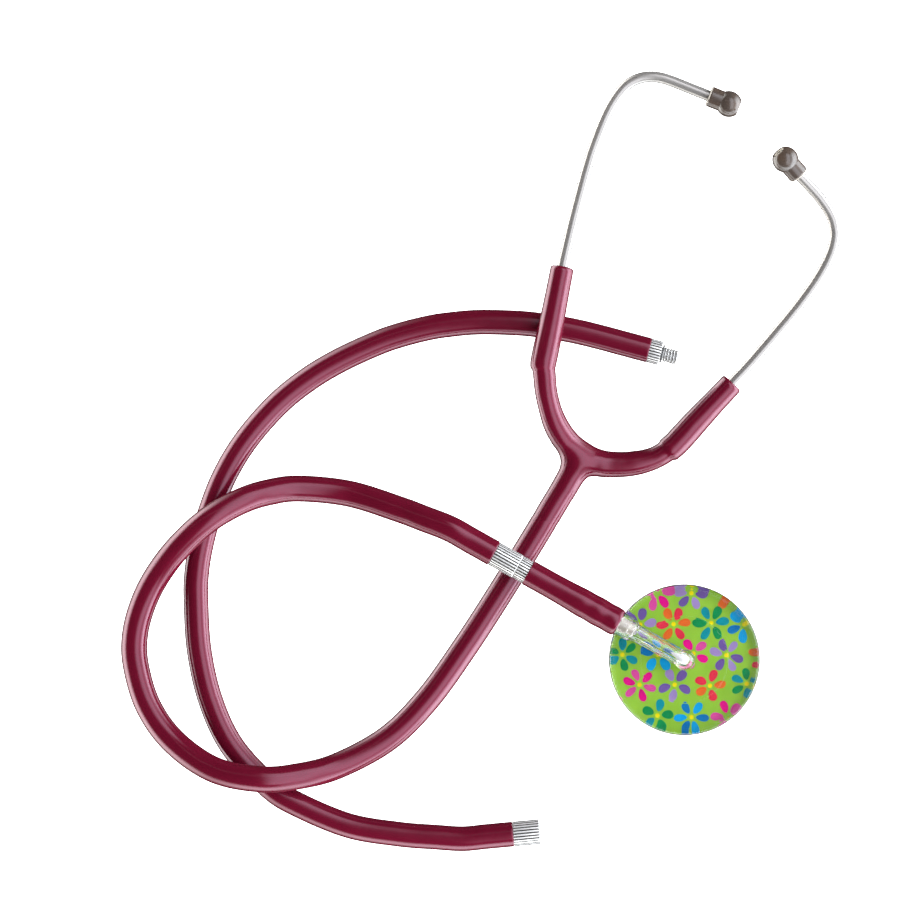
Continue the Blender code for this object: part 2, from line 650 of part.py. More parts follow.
def make_chest_body():
    """Clear acrylic disc, slightly domed, grooved for the stem and drilled for the sound."""
    profile = [(0.0, DISC_TOP), (12.0, DISC_TOP - 0.1), (20.0, DISC_TOP - 0.3), (26.4, DISC_TOP - 0.7),
               (DISC_R - 0.5, 10.4), (DISC_R, 9.2), (DISC_R, 5.2), (DISC_R - 0.3, 4.9), (0.0, 4.9)]
    body = disc("chest_body", profile, "clear_acrylic", closed=False)
    groove = [(0.0, 31.0), (STEM_COLLAR_R + GAP, 31.0), (STEM_COLLAR_R + GAP, 21.3),
              (STEM_R + GAP + 0.1, 21.3), (STEM_R + GAP, 3.4)]
    ball = arc(0.0, STEM_BALL_R + GAP, 30.0, -90.0, 7)
    seat = turned("stem_seat", groove + ball[:-1] + [(0.0, -STEM_BALL_R - GAP)], CUTTERS, closed=False)
    place(seat, on_stem_axis(0.0), heading(STEM_ANGLE))
    return cut(body, seat, port_cutter("body_port", 2.0, 4.0, 12.0))


def make_chestpiece():
    stem = make_chest_stem()
    body = make_chest_body()
    inner_r = DISC_R - 1.2
    print_disc = disc("pattern_disc", [(2.3, 4.6), (inner_r, 4.6), (inner_r, 4.2), (2.3, 4.2)],
                      "flower_print")
    base = disc("chest_base", [(2.0, 3.9), (inner_r, 3.9), (inner_r, 1.6), (23.5, 1.6), (8.0, 2.6),
                               (2.0, 2.6)], "white_plastic")
    skin = disc("diaphragm", [(0.0, 1.3), (inner_r, 1.3), (inner_r, 0.9), (0.0, 0.9)],
                "white_plastic", closed=False)
    ring = disc("diaphragm_ring", [(inner_r + GAP, 4.6), (DISC_R, 4.6), (DISC_R, 0.4),
                                   (DISC_R - 0.4, 0.0), (24.8, 0.0), (24.8, 0.6), (inner_r + GAP, 0.6)],
                "clear_acrylic")
    pivot("chestpiece_axis", on_stem_axis(STEM_LENGTH), heading(STEM_ANGLE),
          [stem, body, print_disc, base, skin, ring])


# ---------------------------------------------------------------- spare extension tube
def make_spare_tube():
    plug_way = heading(SPARE_PLUG_HEADING)
    socket_way = heading(SPARE_SOCKET_HEADING)
    shoulder = SPARE_PLUG_END + plug_way * (GAP + COLLAR_LENGTH)
    mouth = SPARE_SOCKET_END + socket_way * (GAP + SLEEVE_LENGTH)
    back = HOSE_END_LENGTH + GAP
    reach = back + STRAIGHT_LEAD
    lead_out = [tuple(SPARE_PLUG_END - plug_way * back), tuple(SPARE_PLUG_END - plug_way * reach)]
    lead_in = [tuple(SPARE_SOCKET_END - socket_way * reach), tuple(SPARE_SOCKET_END - socket_way * back)]
    flat = [(x, y, SPARE_R) for x, y in SPARE_ROUTE]
    make_hose("extension_hose", lead_out + flat + lead_in, SPARE_R)
    make_hose_end("extension_hose_end_upper", SPARE_PLUG_END, plug_way, SPARE_R)
    make_hose_end("extension_hose_end_lower", SPARE_SOCKET_END, socket_way, SPARE_R)
    make_plug("extension_plug", shoulder, plug_way)
    make_o_ring("extension_o_ring", shoulder, plug_way)
    make_socket("extension_socket", mouth, socket_way)


def main():
    make_y_junction()
    make_leaf_spring()
    make_headset_side("left", LEFT_PIVOT, LEFT_SLEEVE_END, LEFT_TUBE_PLAN, LEFT_TIP_BASE,
                      LEFT_TIP_HEADING, 1.0, LEFT_TILT)
    make_headset_side("right", RIGHT_PIVOT, RIGHT_SLEEVE_END, RIGHT_TUBE_PLAN, RIGHT_TIP_BASE,
                      RIGHT_TIP_HEADING, -1.0, RIGHT_TILT)
    make_main_tubing()
    make_chest_tube()
    make_chestpiece()
    make_spare_tube()


for leftover in list(bpy.data.objects):
    bpy.data.objects.remove(leftover)
MODEL = new_collection("stethoscope")
CUTTERS = new_collection("cutters")
MATERIALS = make_materials()
main()
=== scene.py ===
"""Looks of a stethoscope with a clear flower-print chestpiece and its spare extension tube.

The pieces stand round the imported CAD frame: +Z up from the table, ear tips towards +Y.
Places are in metres. Profiles of turned pieces are (radius, height) in millimetres.
"""
import json
import math
import random

import bmesh
import bpy
import numpy as np
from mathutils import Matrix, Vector


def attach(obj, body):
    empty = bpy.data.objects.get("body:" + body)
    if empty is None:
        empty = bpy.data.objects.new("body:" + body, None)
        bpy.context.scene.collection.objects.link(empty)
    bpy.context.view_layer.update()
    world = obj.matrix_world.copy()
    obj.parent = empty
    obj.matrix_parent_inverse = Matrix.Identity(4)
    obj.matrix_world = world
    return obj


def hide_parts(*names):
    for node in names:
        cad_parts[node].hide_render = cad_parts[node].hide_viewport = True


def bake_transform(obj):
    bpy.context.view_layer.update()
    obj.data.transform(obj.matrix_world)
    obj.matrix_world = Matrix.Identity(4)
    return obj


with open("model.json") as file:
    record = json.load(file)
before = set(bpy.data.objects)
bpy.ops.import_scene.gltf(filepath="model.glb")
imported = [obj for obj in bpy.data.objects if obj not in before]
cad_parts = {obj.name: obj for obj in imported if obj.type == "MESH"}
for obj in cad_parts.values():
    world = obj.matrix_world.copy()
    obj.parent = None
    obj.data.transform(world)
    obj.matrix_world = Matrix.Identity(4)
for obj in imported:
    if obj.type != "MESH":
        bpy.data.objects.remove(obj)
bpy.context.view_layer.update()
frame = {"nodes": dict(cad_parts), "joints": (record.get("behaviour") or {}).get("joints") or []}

NODES = frame["nodes"]
JOINTS = {joint["name"]: joint for joint in frame["joints"]}
MM = 0.001

# ---------------- sizes, metres
HOSE_R = 5.0 * MM
SPARE_R = 4.75 * MM
COUPLING_Z = 15.1 * MM
EAR_TUBE_R = 2.1 * MM
DISC_CENTRE = Vector((0.0, -0.097, 0.0))
STEM_ANGLE = math.radians(150.8)  # from the disc towards the coupling
TUBE_IN_TIP = 7.6 * MM

# Each ear tube in plan: where it bends, its tip's base and heading, which way its plane leans from its
# sleeve's axis, and by how much.
EAR_TUBES = {
    "left": {
        "plan": [
            (-0.0458, 0.0536), (-0.0421, 0.0695), (-0.0373, 0.0876), (-0.0344, 0.097),
            (-0.0302, 0.1078), (-0.0266, 0.1146), (-0.0224, 0.12), (-0.0179, 0.1228), (-0.0134, 0.1237),
            (-0.0089, 0.1233), (-0.0044, 0.1219), (0.002, 0.11935),
        ],
        "tip_base": (0.0093, 0.11645), "tip_heading": math.radians(-21.8),
        "turn": 1.0, "tilt": math.radians(-2.7),
    },
    "right": {
        "plan": [
            (0.0195, 0.0093), (0.026, 0.0163), (0.0395, 0.0323), (0.0455, 0.04), (0.0505, 0.0472),
            (0.0545, 0.0545), (0.0566, 0.0606), (0.057, 0.0657), (0.0554, 0.0714), (0.0518, 0.077),
            (0.0482, 0.0812),
        ],
        "tip_base": (0.0433, 0.0863), "tip_heading": math.radians(131.5),
        "turn": -1.0, "tilt": math.radians(15.0),
    },
}
# The Y moulding: (x, y, z, outside radius).
LEFT_LIMB = [
    (-0.05295, 0.01015, 0.0159, 0.00435), (-0.0526, 0.006, 0.0155, 0.0043),
    (-0.0519, 0.002, 0.0147, 0.0043), (-0.0506, -0.003, 0.0132, 0.0044),
    (-0.0489, -0.0076, 0.0114, 0.0047), (-0.0465, -0.0119, 0.0096, 0.0049),
    (-0.0438, -0.0153, 0.0081, 0.0050),
]
JUNCTION = (-0.0405, -0.0184, 0.0068, 0.0051)
RIGHT_LIMB = [
    (-0.0366, -0.0209, 0.0060, 0.0052), (-0.0323, -0.0225, 0.0055, 0.0052),
    (-0.0284, -0.02305, 0.0052, 0.0050), (-0.0228, -0.02305, 0.0052, 0.0048),
    (-0.0188, -0.0226, 0.0052, 0.0047), (-0.0152, -0.0219, 0.0052, 0.0045),
    (-0.0112, -0.02055, 0.0052, 0.0043), (-0.00735, -0.0184, 0.0052, 0.0043),
]
STEM_LIMB = [
    (-0.0408, -0.0213, 0.0061, 0.0046), (-0.0424, -0.0262, 0.0057, 0.0051),
    (-0.0446, -0.0304, 0.0054, 0.0051), (-0.0473, -0.0349, 0.0051, 0.0050),
    (-0.0512, -0.0414, 0.005, 0.00502), (-0.0534, -0.0451, 0.005, 0.00485),
]
LEFT_ARM_ROOT = [(-0.0532, 0.0118, 0.016, 0.0049)]  # where each arm's swelling starts
RIGHT_ARM_ROOT = [(-0.00775, -0.0190, 0.0052, 0.0049)]
MAIN_ROUTE = [
    (-0.0488, -0.0374, 0.00503), (-0.05135, -0.04166, 0.005), (-0.0558, -0.0491, 0.005),
    (-0.0634, -0.0615, 0.005), (-0.071, -0.0737, 0.005), (-0.0829, -0.092, 0.005),
    (-0.097, -0.1116, 0.005), (-0.112, -0.1266, 0.0054), (-0.1307, -0.1369, 0.008),
    (-0.1455, -0.1409, 0.0124), (-0.1606, -0.1421, 0.0153), (-0.1781, -0.1385, 0.0122),
    (-0.1933, -0.128, 0.0072), (-0.203, -0.1145, 0.0053), (-0.2077, -0.099, 0.005),
    (-0.208, -0.0876, 0.0051), (-0.205, -0.076, 0.006), (-0.1996, -0.0652, 0.0086),
    (-0.1913, -0.0543, 0.0128), (-0.1802, -0.0441, 0.0153), (-0.1676, -0.0369, 0.0129),
    (-0.1568, -0.0335, 0.0092), (-0.1455, -0.0322, 0.0064), (-0.1266, -0.0342, 0.0053),
    (-0.1078, -0.0401, 0.0096), (-0.099, -0.0434, 0.0126),
]
SPARE_ROUTE = [
    (-0.0414, 0.0274), (-0.0516, 0.0292), (-0.0622, 0.0304), (-0.0775, 0.0308),
    (-0.0887, 0.0299), (-0.097, 0.0286), (-0.1076, 0.0259), (-0.1169, 0.0226),
    (-0.1305, 0.0163), (-0.1425, 0.0091), (-0.1543, -0.0005), (-0.1661, -0.0141),
    (-0.1744, -0.028), (-0.18, -0.0426), (-0.1832, -0.0547), (-0.1847, -0.0649),
    (-0.1849, -0.0744), (-0.1837, -0.0934), (-0.1793, -0.1126), (-0.1711, -0.1299),
    (-0.1569, -0.1452), (-0.1459, -0.1521), (-0.1269, -0.1599), (-0.1078, -0.1631),
    (-0.094, -0.1642),
]
SPARE_PLUG_END = Vector((-0.01355, 0.0202, SPARE_R))  # where the tubing ends
SPARE_PLUG_HEADING = math.radians(-15.0)
SPARE_SOCKET_END = Vector((-0.06506, -0.16305, SPARE_R))
SPARE_SOCKET_HEADING = math.radians(5.3)
LEAD_NEAR = 9.95 * MM  # straight run behind each end of the spare tube
LEAD_FAR = 18.95 * MM


def linked(name, data):
    """New object in the scene."""
    piece = bpy.data.objects.new(name, data)
    bpy.context.scene.collection.objects.link(piece)
    return piece


# ---------------- places and routes
def heading(angle):
    """Unit vector in plan."""
    return Vector((math.cos(angle), math.sin(angle), 0.0))


def joint_place(name):
    return Vector(JOINTS[name]["pos_m"])


def on_stem_axis(distance):
    """Point on the line from the chestpiece's centre through the coupling; distance in mm."""
    return DISC_CENTRE + Vector((0, 0, COUPLING_Z)) + heading(STEM_ANGLE) * (distance * MM)


def smooth_route(points, spacing):
    """Points at even spacing along a Catmull-Rom curve through the route's own points."""
    route = [Vector(p) for p in points]
    route = [2 * route[0] - route[1]] + route + [2 * route[-1] - route[-2]]
    fine = []
    for a, b, c, d in zip(route, route[1:], route[2:], route[3:]):
        for step in range(12):
            t = step / 12
            fine.append(0.5 * (2 * b + (c - a) * t + (2 * a - 5 * b + 4 * c - d) * t * t
                               + (3 * b - a - 3 * c + d) * t ** 3))
    fine.append(route[-2])
    lengths = [0.0]
    for p, q in zip(fine, fine[1:]):
        lengths.append(lengths[-1] + (q - p).length)
    count = max(2, round(lengths[-1] / spacing))
    even = []
    index = 0
    for step in range(count + 1):
        target = lengths[-1] * step / count
        while index < len(fine) - 2 and lengths[index + 1] < target:
            index += 1
        span = lengths[index + 1] - lengths[index]
        even.append(fine[index].lerp(fine[index + 1], (target - lengths[index]) / span))
    return even


def tilted(plan, sleeve_end, direction, side, tilt):
    """Lift plan points into the ear tube's plane, turned by tilt about the sleeve's axis."""
    flat = Vector((direction.x, direction.y, 0.0))
    slope = direction.z / flat.length
    flat.normalize()
    across = Vector((flat.y, -flat.x, 0.0)) * side
    spots = []
    for x, y in plan:
        offset = Vector((x, y, 0.0)) - Vector((sleeve_end.x, sleeve_end.y, 0.0))
        height = sleeve_end.z + offset.dot(flat) * slope + offset.dot(across) * math.tan(tilt)
        spots.append(Vector((x, y, height)))
    return spots


# ---------------- camera
VIEW_CENTRE = (-0.08872, -0.0176)
VIEW_HALF_WIDTH = 0.170325
VIEW_HEIGHT = 0.008  # the height at which the view is that wide


def make_camera():
    """Looks straight down from far away, so that nothing leans."""
    data = bpy.data.cameras.new("camera")
    data.sensor_width = 36.0
    data.lens = 800.0
    data.clip_end = 60.0
    camera = linked("camera", data)
    distance = VIEW_HALF_WIDTH / (data.sensor_width / 2 / data.lens)
    camera.location = (*VIEW_CENTRE, distance + VIEW_HEIGHT)
    bpy.context.scene.camera = camera


# ---------------- making meshes
def add_mesh(name, vertices, faces):
    mesh = bpy.data.meshes.new(name)
    mesh.from_pydata([tuple(v) for v in vertices], [], faces)
    mesh.validate()
    return linked(name, mesh)


def baked(piece):
    """A new mesh of the piece with its modifiers applied."""
    bpy.context.view_layer.update()
    return bpy.data.meshes.new_from_object(piece.evaluated_get(bpy.context.evaluated_depsgraph_get()))


def shade(piece, sharp_degrees=32.0):
    piece.data.shade_smooth()
    piece.data.set_sharp_from_angle(angle=math.radians(sharp_degrees))
    return piece


def place(piece, origin, direction):
    """Put a piece's local origin at a point, with its local +Z along a direction."""
    piece.location = origin
    piece.rotation_mode = "QUATERNION"
    piece.rotation_quaternion = Vector(direction).to_track_quat("Z", "Y")
    return piece


def softened(profile, size, steps=4):
    """The same profile with each corner rounded off by about size (mm)."""
    spots = [Vector(p) for p in profile]
    rounded = [spots[0]]
    for before, corner, after in zip(spots, spots[1:], spots[2:]):
        back, ahead = before - corner, after - corner
        reach = min(size, back.length * 0.45, ahead.length * 0.45)
        start = corner + back.normalized() * reach
        end = corner + ahead.normalized() * reach
        for step in range(steps + 1):
            t = step / steps
            rounded.append(start * (1 - t) ** 2 + corner * 2 * t * (1 - t) + end * t ** 2)
    rounded.append(spots[-1])
    return [tuple(p) for p in rounded]


def circle(radius, count, x=0.0, y=0.0):
    """Points round a circle in plan."""
    turns = [2 * math.pi * i / count for i in range(count)]
    return [(x + radius * math.cos(t), y + radius * math.sin(t)) for t in turns]


def walls(rings):
    """Four-sided faces between rings of vertices, each ring closed on itself."""
    faces = []
    for low, high in zip(rings, rings[1:]):
        for i in range(len(low)):
            j = (i + 1) % len(low)
            faces.append([low[i], low[j], high[j], high[i]])
    return faces


def turned(name, profile, steps=64, shape=None):
    """Closed piece turned about its local Z from (radius, height) points in mm.

    A profile that ends on the axis is closed there; any other is closed on itself.
    shape(radius, height, angle) may change the radius from place to place.
    """
    vertices, rings = [], []
    for radius, height in profile:
        if radius < 1e-6:
            rings.append([len(vertices)] * steps)
            vertices.append((0.0, 0.0, height * MM))
            continue
        ring = []
        for step in range(steps):
            angle = 2.0 * math.pi * step / steps
            reach = shape(radius, height, angle) if shape else radius
            ring.append(len(vertices))
            vertices.append((reach * MM * math.cos(angle), reach * MM * math.sin(angle), height * MM))
        rings.append(ring)
    if profile[0][0] > 1e-6 and profile[-1][0] > 1e-6:
        rings.append(rings[0])
    faces = [[v for i, v in enumerate(face) if v not in face[:i]] for face in walls(rings)]
    return face_out(add_mesh(name, vertices, [f for f in faces if len(f) > 2]))


def face_out(piece):
    """Turn every face outwards."""
    bm = bmesh.new()
    bm.from_mesh(piece.data)
    bmesh.ops.recalc_face_normals(bm, faces=bm.faces)
    if bm.calc_volume(signed=True) < 0:
        bmesh.ops.reverse_faces(bm, faces=bm.faces)
    bm.to_mesh(piece.data)
    bm.free()
    return piece


def tube_curve(name, points, factors, radius, resolution=13):
    """Round tube along a POLY spline, as a curve object; factors scale its radius from point to point."""
    curve = bpy.data.curves.new(name, "CURVE")
    curve.dimensions = "3D"
    curve.twist_mode = "Z_UP"
    curve.bevel_depth = radius
    curve.bevel_resolution = resolution
    curve.use_fill_caps = True
    spline = curve.splines.new("POLY")
    spline.points.add(len(points) - 1)
    for knot, point, factor in zip(spline.points, points, factors):
        knot.co = (*point[:3], 1.0)
        knot.radius = factor
    return linked(name, curve)


ROUNDING = [(0.0, 0.945), (0.07, 0.972), (0.2, 0.992), (0.4, 0.998), (0.7, 1.0)]  # mm back, factor


def rounded_end(points, factors):
    """Round off the last end of a tube: closer points there, with smaller factors."""
    tip = points[-1]
    back = (points[-2] - tip).normalized()
    kept = [(p, factor) for p, factor in zip(points, factors) if (p - tip).length > 1.4 * MM]
    kept += [(tip + back * (distance * MM), factor) for distance, factor in reversed(ROUNDING)]
    return [p for p, factor in kept], [factor for p, factor in kept]


def both_ends_rounded(points):
    factors = [1.0] * len(points)
    points, factors = rounded_end(points, factors)
    points, factors = rounded_end(points[::-1], factors[::-1])
    return points[::-1], factors[::-1]


def prism(outline, low, high, origin):
    """Closed upright plate from an outline in plan; outline, low and high in mm."""
    count = len(outline)
    vertices = [(origin[0] + x * MM, origin[1] + y * MM, z * MM) for z in (low, high) for x, y in outline]
    rings = [list(range(count)), list(range(count, 2 * count))]
    return vertices, [rings[0][::-1], rings[1]] + walls(rings)


# ---------------- materials
def mixed_colour(tree, factor, first, second):
    mix = tree.nodes.new("ShaderNodeMix")
    mix.data_type = "RGBA"
    tree.links.new(factor, mix.inputs["Factor"])
    mix.inputs["A"].default_value = (*first, 1.0)
    mix.inputs["B"].default_value = (*second, 1.0)
    return mix.outputs["Result"]


def noise(tree, scale):
    """Noise that sticks to the piece; scale is in cells per metre."""
    coordinates = tree.nodes.new("ShaderNodeTexCoord").outputs["Object"]
    texture = tree.nodes.new("ShaderNodeTexNoise")
    texture.inputs["Scale"].default_value = scale
    texture.inputs["Detail"].default_value = 3.0
    tree.links.new(coordinates, texture.inputs["Vector"])
    return texture.outputs["Fac"]


def spread(tree, value, low, high):
    """Map a noise's middle range, 0.3 to 0.7, on to low..high."""
    remap = tree.nodes.new("ShaderNodeMapRange")
    remap.inputs["From Min"].default_value = 0.3
    remap.inputs["From Max"].default_value = 0.7
    remap.inputs["To Min"].default_value = low
    remap.inputs["To Max"].default_value = high
    tree.links.new(value, remap.inputs["Value"])
    return remap.outputs["Result"]


def make_material(name, colours, roughness, cells=(120.0, 700.0, 2500.0), bump=0.0, **constants):
    """Two tones mixed by noise, roughness that varies, a fine bump; constants go on the shader.

    cells gives the three noises' cells per metre: tone, roughness and bump.
    """
    material = bpy.data.materials.new(name)
    material.use_nodes = True
    tree = material.node_tree
    shader = tree.nodes["Principled BSDF"]
    tone = spread(tree, noise(tree, cells[0]), 0.0, 1.0)
    tree.links.new(mixed_colour(tree, tone, *colours), shader.inputs["Base Color"])
    wear = spread(tree, noise(tree, cells[1]), *roughness)
    tree.links.new(wear, shader.inputs["Roughness"])
    if bump:
        grain = tree.nodes.new("ShaderNodeBump")
        grain.inputs["Strength"].default_value = bump
        grain.inputs["Distance"].default_value = 0.05 * MM
        tree.links.new(noise(tree, cells[2]), grain.inputs["Height"])
        tree.links.new(grain.outputs["Normal"], shader.inputs["Normal"])
    for socket, value in constants.items():
        shader.inputs[socket.replace("_", " ")].default_value = value
    return material


def srgb(red, green, blue):
    """A colour given as 0..255 screen values, in linear light."""
    return tuple(((c / 255 + 0.055) / 1.055) ** 2.4 if c > 10 else c / 255 / 12.92
                 for c in (red, green, blue))


CLEAR = {
    "colours": ((0.99, 0.995, 0.99), (0.975, 0.985, 0.98)), "roughness": (0.0, 0.004),
    "cells": (60.0, 300.0, 2500.0), "Transmission_Weight": 1.0, "IOR": 1.49,
}
FAINT_GLOSS = (0.3, 0.3, 0.3, 1.0)  # the disc and its rim mirror less than a polished part
# painted light: the print and its inks glow faintly in their own colours
GLOWING_PRINT = {"roughness": (0.30, 0.40), "bump": 0.03, "Emission_Strength": 0.08, "Specular_IOR_Level": 0.08}


def make_materials():
    """Each material's two tones, its range of roughness and its constants."""
    looks = {
        "burgundy_pvc": dict(
            colours=((0.102, 0.0033, 0.0145), (0.094, 0.0028, 0.0130)), roughness=(0.14, 0.19), bump=0.02,
            Specular_Tint=(0.96, 0.61, 0.76, 1.0)),
        "ear_tube_chrome": dict(
            colours=((0.27, 0.258, 0.242), (0.25, 0.238, 0.224)), roughness=(0.06, 0.10), Metallic=0.35),
        "knurled_steel": dict(
            colours=((0.72, 0.72, 0.705), (0.68, 0.68, 0.665)), roughness=(0.16, 0.24), Metallic=0.3),
        # painted shade: dark material for the grooves of the knurls and threads
        "painted_groove_shade": dict(
            colours=((0.062, 0.057, 0.050), (0.045, 0.042, 0.038)), roughness=(0.40, 0.55), Metallic=0.2),
        "spring_steel": dict(
            colours=((0.46, 0.46, 0.48), (0.38, 0.38, 0.40)), roughness=(0.28, 0.42), bump=0.1,
            Metallic=1.0),
        "smoky_silicone": dict(
            colours=((0.088, 0.060, 0.044), (0.055, 0.047, 0.043)), roughness=(0.03, 0.06),
            Transmission_Weight=0.1, IOR=1.43),
        "cream_plastic": dict(
            colours=((0.50, 0.455, 0.385), (0.45, 0.405, 0.335)), roughness=(0.25, 0.38), bump=0.03),
        "clear_acrylic": CLEAR,
        "disc_acrylic": dict(CLEAR, Specular_Tint=FAINT_GLOSS),
        # painted shade: a dark, half-clear acrylic for the disc's outer wall and rim, which paints the dark
        # outline round the disc's edge
        "painted_rim_shade": dict(
            colours=((0.14, 0.135, 0.095), (0.12, 0.115, 0.08)), roughness=(0.01, 0.03),
            Transmission_Weight=0.4, IOR=1.49, Specular_Tint=FAINT_GLOSS),
        "white_plastic": dict(
            colours=((0.88, 0.88, 0.87), (0.82, 0.82, 0.81)), roughness=(0.30, 0.42), bump=0.05),
        "black_rubber": dict(
            colours=((0.022, 0.022, 0.022), (0.015, 0.015, 0.015)), roughness=(0.45, 0.62), bump=0.1),
        # painted light: the green disc glows faintly in its own green
        "flower_print": dict(
            GLOWING_PRINT, colours=(srgb(155, 205, 64), srgb(144, 194, 56)), cells=(70.0, 700.0, 2500.0),
            Emission_Color=(*srgb(150, 204, 66), 1.0)),
    }
    return {name: make_material(name, **look) for name, look in looks.items()}


PAINTS = {
    "magenta": (236, 0, 140), "pink": (230, 80, 165), "green": (0, 148, 80), "teal": (0, 150, 165),
    "purple": (115, 90, 165), "lilac": (170, 145, 205), "blue": (0, 120, 190), "sky": (0, 170, 235),
    "red": (235, 50, 75), "orange": (240, 110, 40), "yellow": (250, 232, 0),
}
PAIRS = [("magenta", "pink"), ("green", "teal"), ("purple", "lilac"), ("sky", "blue"), ("red", "orange")]


def make_paint(name):
    bright = srgb(*PAINTS[name])
    dull = tuple(c * 0.86 for c in bright)
    # painted light: each ink glows faintly in its own colour
    return make_material("paint_" + name, (bright, dull), cells=(200.0, 700.0, 2500.0),
                         Emission_Color=(*bright, 1.0), **GLOWING_PRINT)


def dress(piece, body, slot, replaced=(), material=None):
    """Give a finished piece its body and its material, and hide the CAD nodes it stands for.

    The material is the one named like the slot, unless another is given.
    """
    piece.data.materials.clear()
    piece.data.materials.append(material or MATERIALS[slot])
    if body:
        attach(piece, body)
    if replaced:
        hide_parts(*replaced)
    return piece


# ---------------- cords
CORD_STEP = 1.6 * MM
END_REACH = 0.22 * MM  # how far the spare's tubing goes past each marked end


def make_main_tubing():
    """Main tubing, from inside the Y's stem to the coupling's sleeve."""
    points = smooth_route(MAIN_ROUTE + [on_stem_axis(d) for d in (101.8, 92.8, 82.62)], CORD_STEP)
    factors = [min(1.0, 0.9 + 0.1 * i / 6) for i in range(len(points))]  # narrow inside the stem
    hose = tube_curve("main_tubing", *rounded_end(points, factors), HOSE_R)
    return dress(hose, "main_tube", "burgundy_pvc", ("main_hose", "main_hose_end"))


def make_spare_tubing():
    """Spare extension tubing, flat on the table, from its plug to its socket."""
    plug_way = heading(SPARE_PLUG_HEADING)
    socket_way = heading(SPARE_SOCKET_HEADING)
    leads = (-END_REACH, LEAD_NEAR, LEAD_FAR)
    route = [SPARE_PLUG_END - plug_way * lead for lead in leads]
    route += [(x, y, SPARE_R) for x, y in SPARE_ROUTE]
    route += [SPARE_SOCKET_END - socket_way * lead for lead in reversed(leads)]
    hose = tube_curve("spare_tubing", *both_ends_rounded(smooth_route(route, CORD_STEP)), SPARE_R)
    return dress(hose, "spare_tube", "burgundy_pvc",
                 ("extension_hose", "extension_hose_end_upper", "extension_hose_end_lower"))


# ---------------- screw couplings
RIBS = 26
KNURL_DEPTH = 0.26  # mm, as are the sizes below
KNURL_FROM = 4.3  # smallest radius that is knurled
PITCH = 1.1
THREAD_START = 1.2
THREAD_END = 6.75
THREAD_DEPTH = 0.62
SHANK_R = 2.4


def knurl(radius, height, angle):
    """Straight knurl: narrow grooves between flat ribs, on the outside only."""
    if radius < KNURL_FROM:
        return radius
    phase = (angle * RIBS / (2 * math.pi)) % 1.0
    return radius - KNURL_DEPTH * max(0.0, 1.0 - abs(phase - 0.5) / 0.26)


def thread_or_knurl(radius, height, angle):
    """Knurled collar below the shoulder, helical thread above the shank."""
    if height <= 0.0:
        return knurl(radius, height, angle)
    if radius < 2.0 or height < THREAD_START:
        return radius
    phase = (height / PITCH - angle / (2 * math.pi)) % 1.0
    crest = max(0.0, 1.0 - abs(2.0 * phase - 1.0) * 1.15)
    fade = min(1.0, (height - THREAD_START) / 0.5, (THREAD_END - height) / 0.4)
    return radius + THREAD_DEPTH * crest * max(0.0, fade)


def fit(piece, origin, direction, body, node):
    """Place and dress a steel fitting, with painted shade: a dark material in the grooves between its ribs
    and between its thread's crests.
    """
    place(shade(piece, 20.0), origin, direction)
    dress(piece, body, "knurled_steel", (node,))
    piece.data.materials.append(MATERIALS["painted_groove_shade"])
    for polygon in piece.data.polygons:
        x, y, z = (value / MM for value in polygon.center)
        radius = math.hypot(x, y)
        phase = (math.atan2(y, x) * RIBS / (2 * math.pi)) % 1.0
        side = abs(polygon.normal.z) < 0.6
        in_knurl = side and radius > 4.25 and abs(phase - 0.5) < 0.2
        in_thread = SHANK_R + 0.06 < radius < SHANK_R + 0.38 and THREAD_START < z < THREAD_END - 0.05
        # painted shade: the knurl's grooves and the flanks between the thread's crests take the dark
        # material
        if in_knurl or in_thread:
            polygon.material_index = 1
    return piece


def make_sleeve(name, mouth, direction, body, node):
    """Screw socket: knurled sleeve, open at its mouth (local z = 0), and the root of its barb."""
    edge = [(0.0, -8.4), (3.3, -8.4), (3.35, -0.6), (3.85, 0.12), (4.4, 0.12), (4.72, -0.15),
            (4.75, -0.3), (4.75, -9.8), (4.72, -9.95), (4.4, -10.15), (2.6, -10.15), (2.6, -14.0),
            (0.0, -14.0)]
    return fit(turned(name, edge, RIBS * 8, knurl), mouth, direction, body, node)


def make_collar(name, shoulder, direction, body, node):
    """Screw plug: knurled collar, shank, thread and air way; its shoulder is local z = 0."""
    nose = [(SHANK_R, 0.12)]
    nose += [(SHANK_R, THREAD_START + 0.1 * step) for step in range(55)]
    nose += [(2.15, THREAD_END), (1.3, THREAD_END), (1.3, 3.0), (0.0, 3.0)]
    edge = [(0.0, -8.0), (2.6, -8.0), (2.6, -4.5), (4.3, -4.5), (4.57, -4.3), (4.6, -4.15),
            (4.6, -0.2), (4.57, -0.05), (4.3, 0.0), (4.3, 0.12)]
    return fit(turned(name, edge + nose, RIBS * 8, thread_or_knurl), shoulder, direction, body, node)


def make_couplings():
    back = heading(STEM_ANGLE)
    plug_way = heading(SPARE_PLUG_HEADING)
    socket_way = heading(SPARE_SOCKET_HEADING)
    return {
        "sleeve": make_sleeve("coupling_sleeve", on_stem_axis(72.45), -back, "main_tube",
                              "coupling_socket"),
        "collar": make_collar("coupling_collar", on_stem_axis(72.15), back, "chest_tube",
                              "coupling_plug"),
        "spare_collar": make_collar("spare_plug", SPARE_PLUG_END + plug_way * 4.6 * MM, plug_way,
                                    "spare_tube", "extension_plug"),
        "spare_sleeve": make_sleeve("spare_socket", SPARE_SOCKET_END + socket_way * 10.4 * MM, socket_way,
                                    "spare_tube", "extension_socket"),
    }


# ---------------- Y moulding
CROTCH_FILLET = 5.2 * MM
ARM_FILLET = 0.9 * MM
ROOT_LIP = 1.3 * MM  # rounding of each arm's edge where the bow goes in
MOUTH_LIP = 1.2 * MM
CUT_SPOT = Vector((-0.0345, -0.0223, 0.0055))  # where the two halves part
CUT_NORMAL = Vector((1.0, -0.2, 0.0)).normalized()


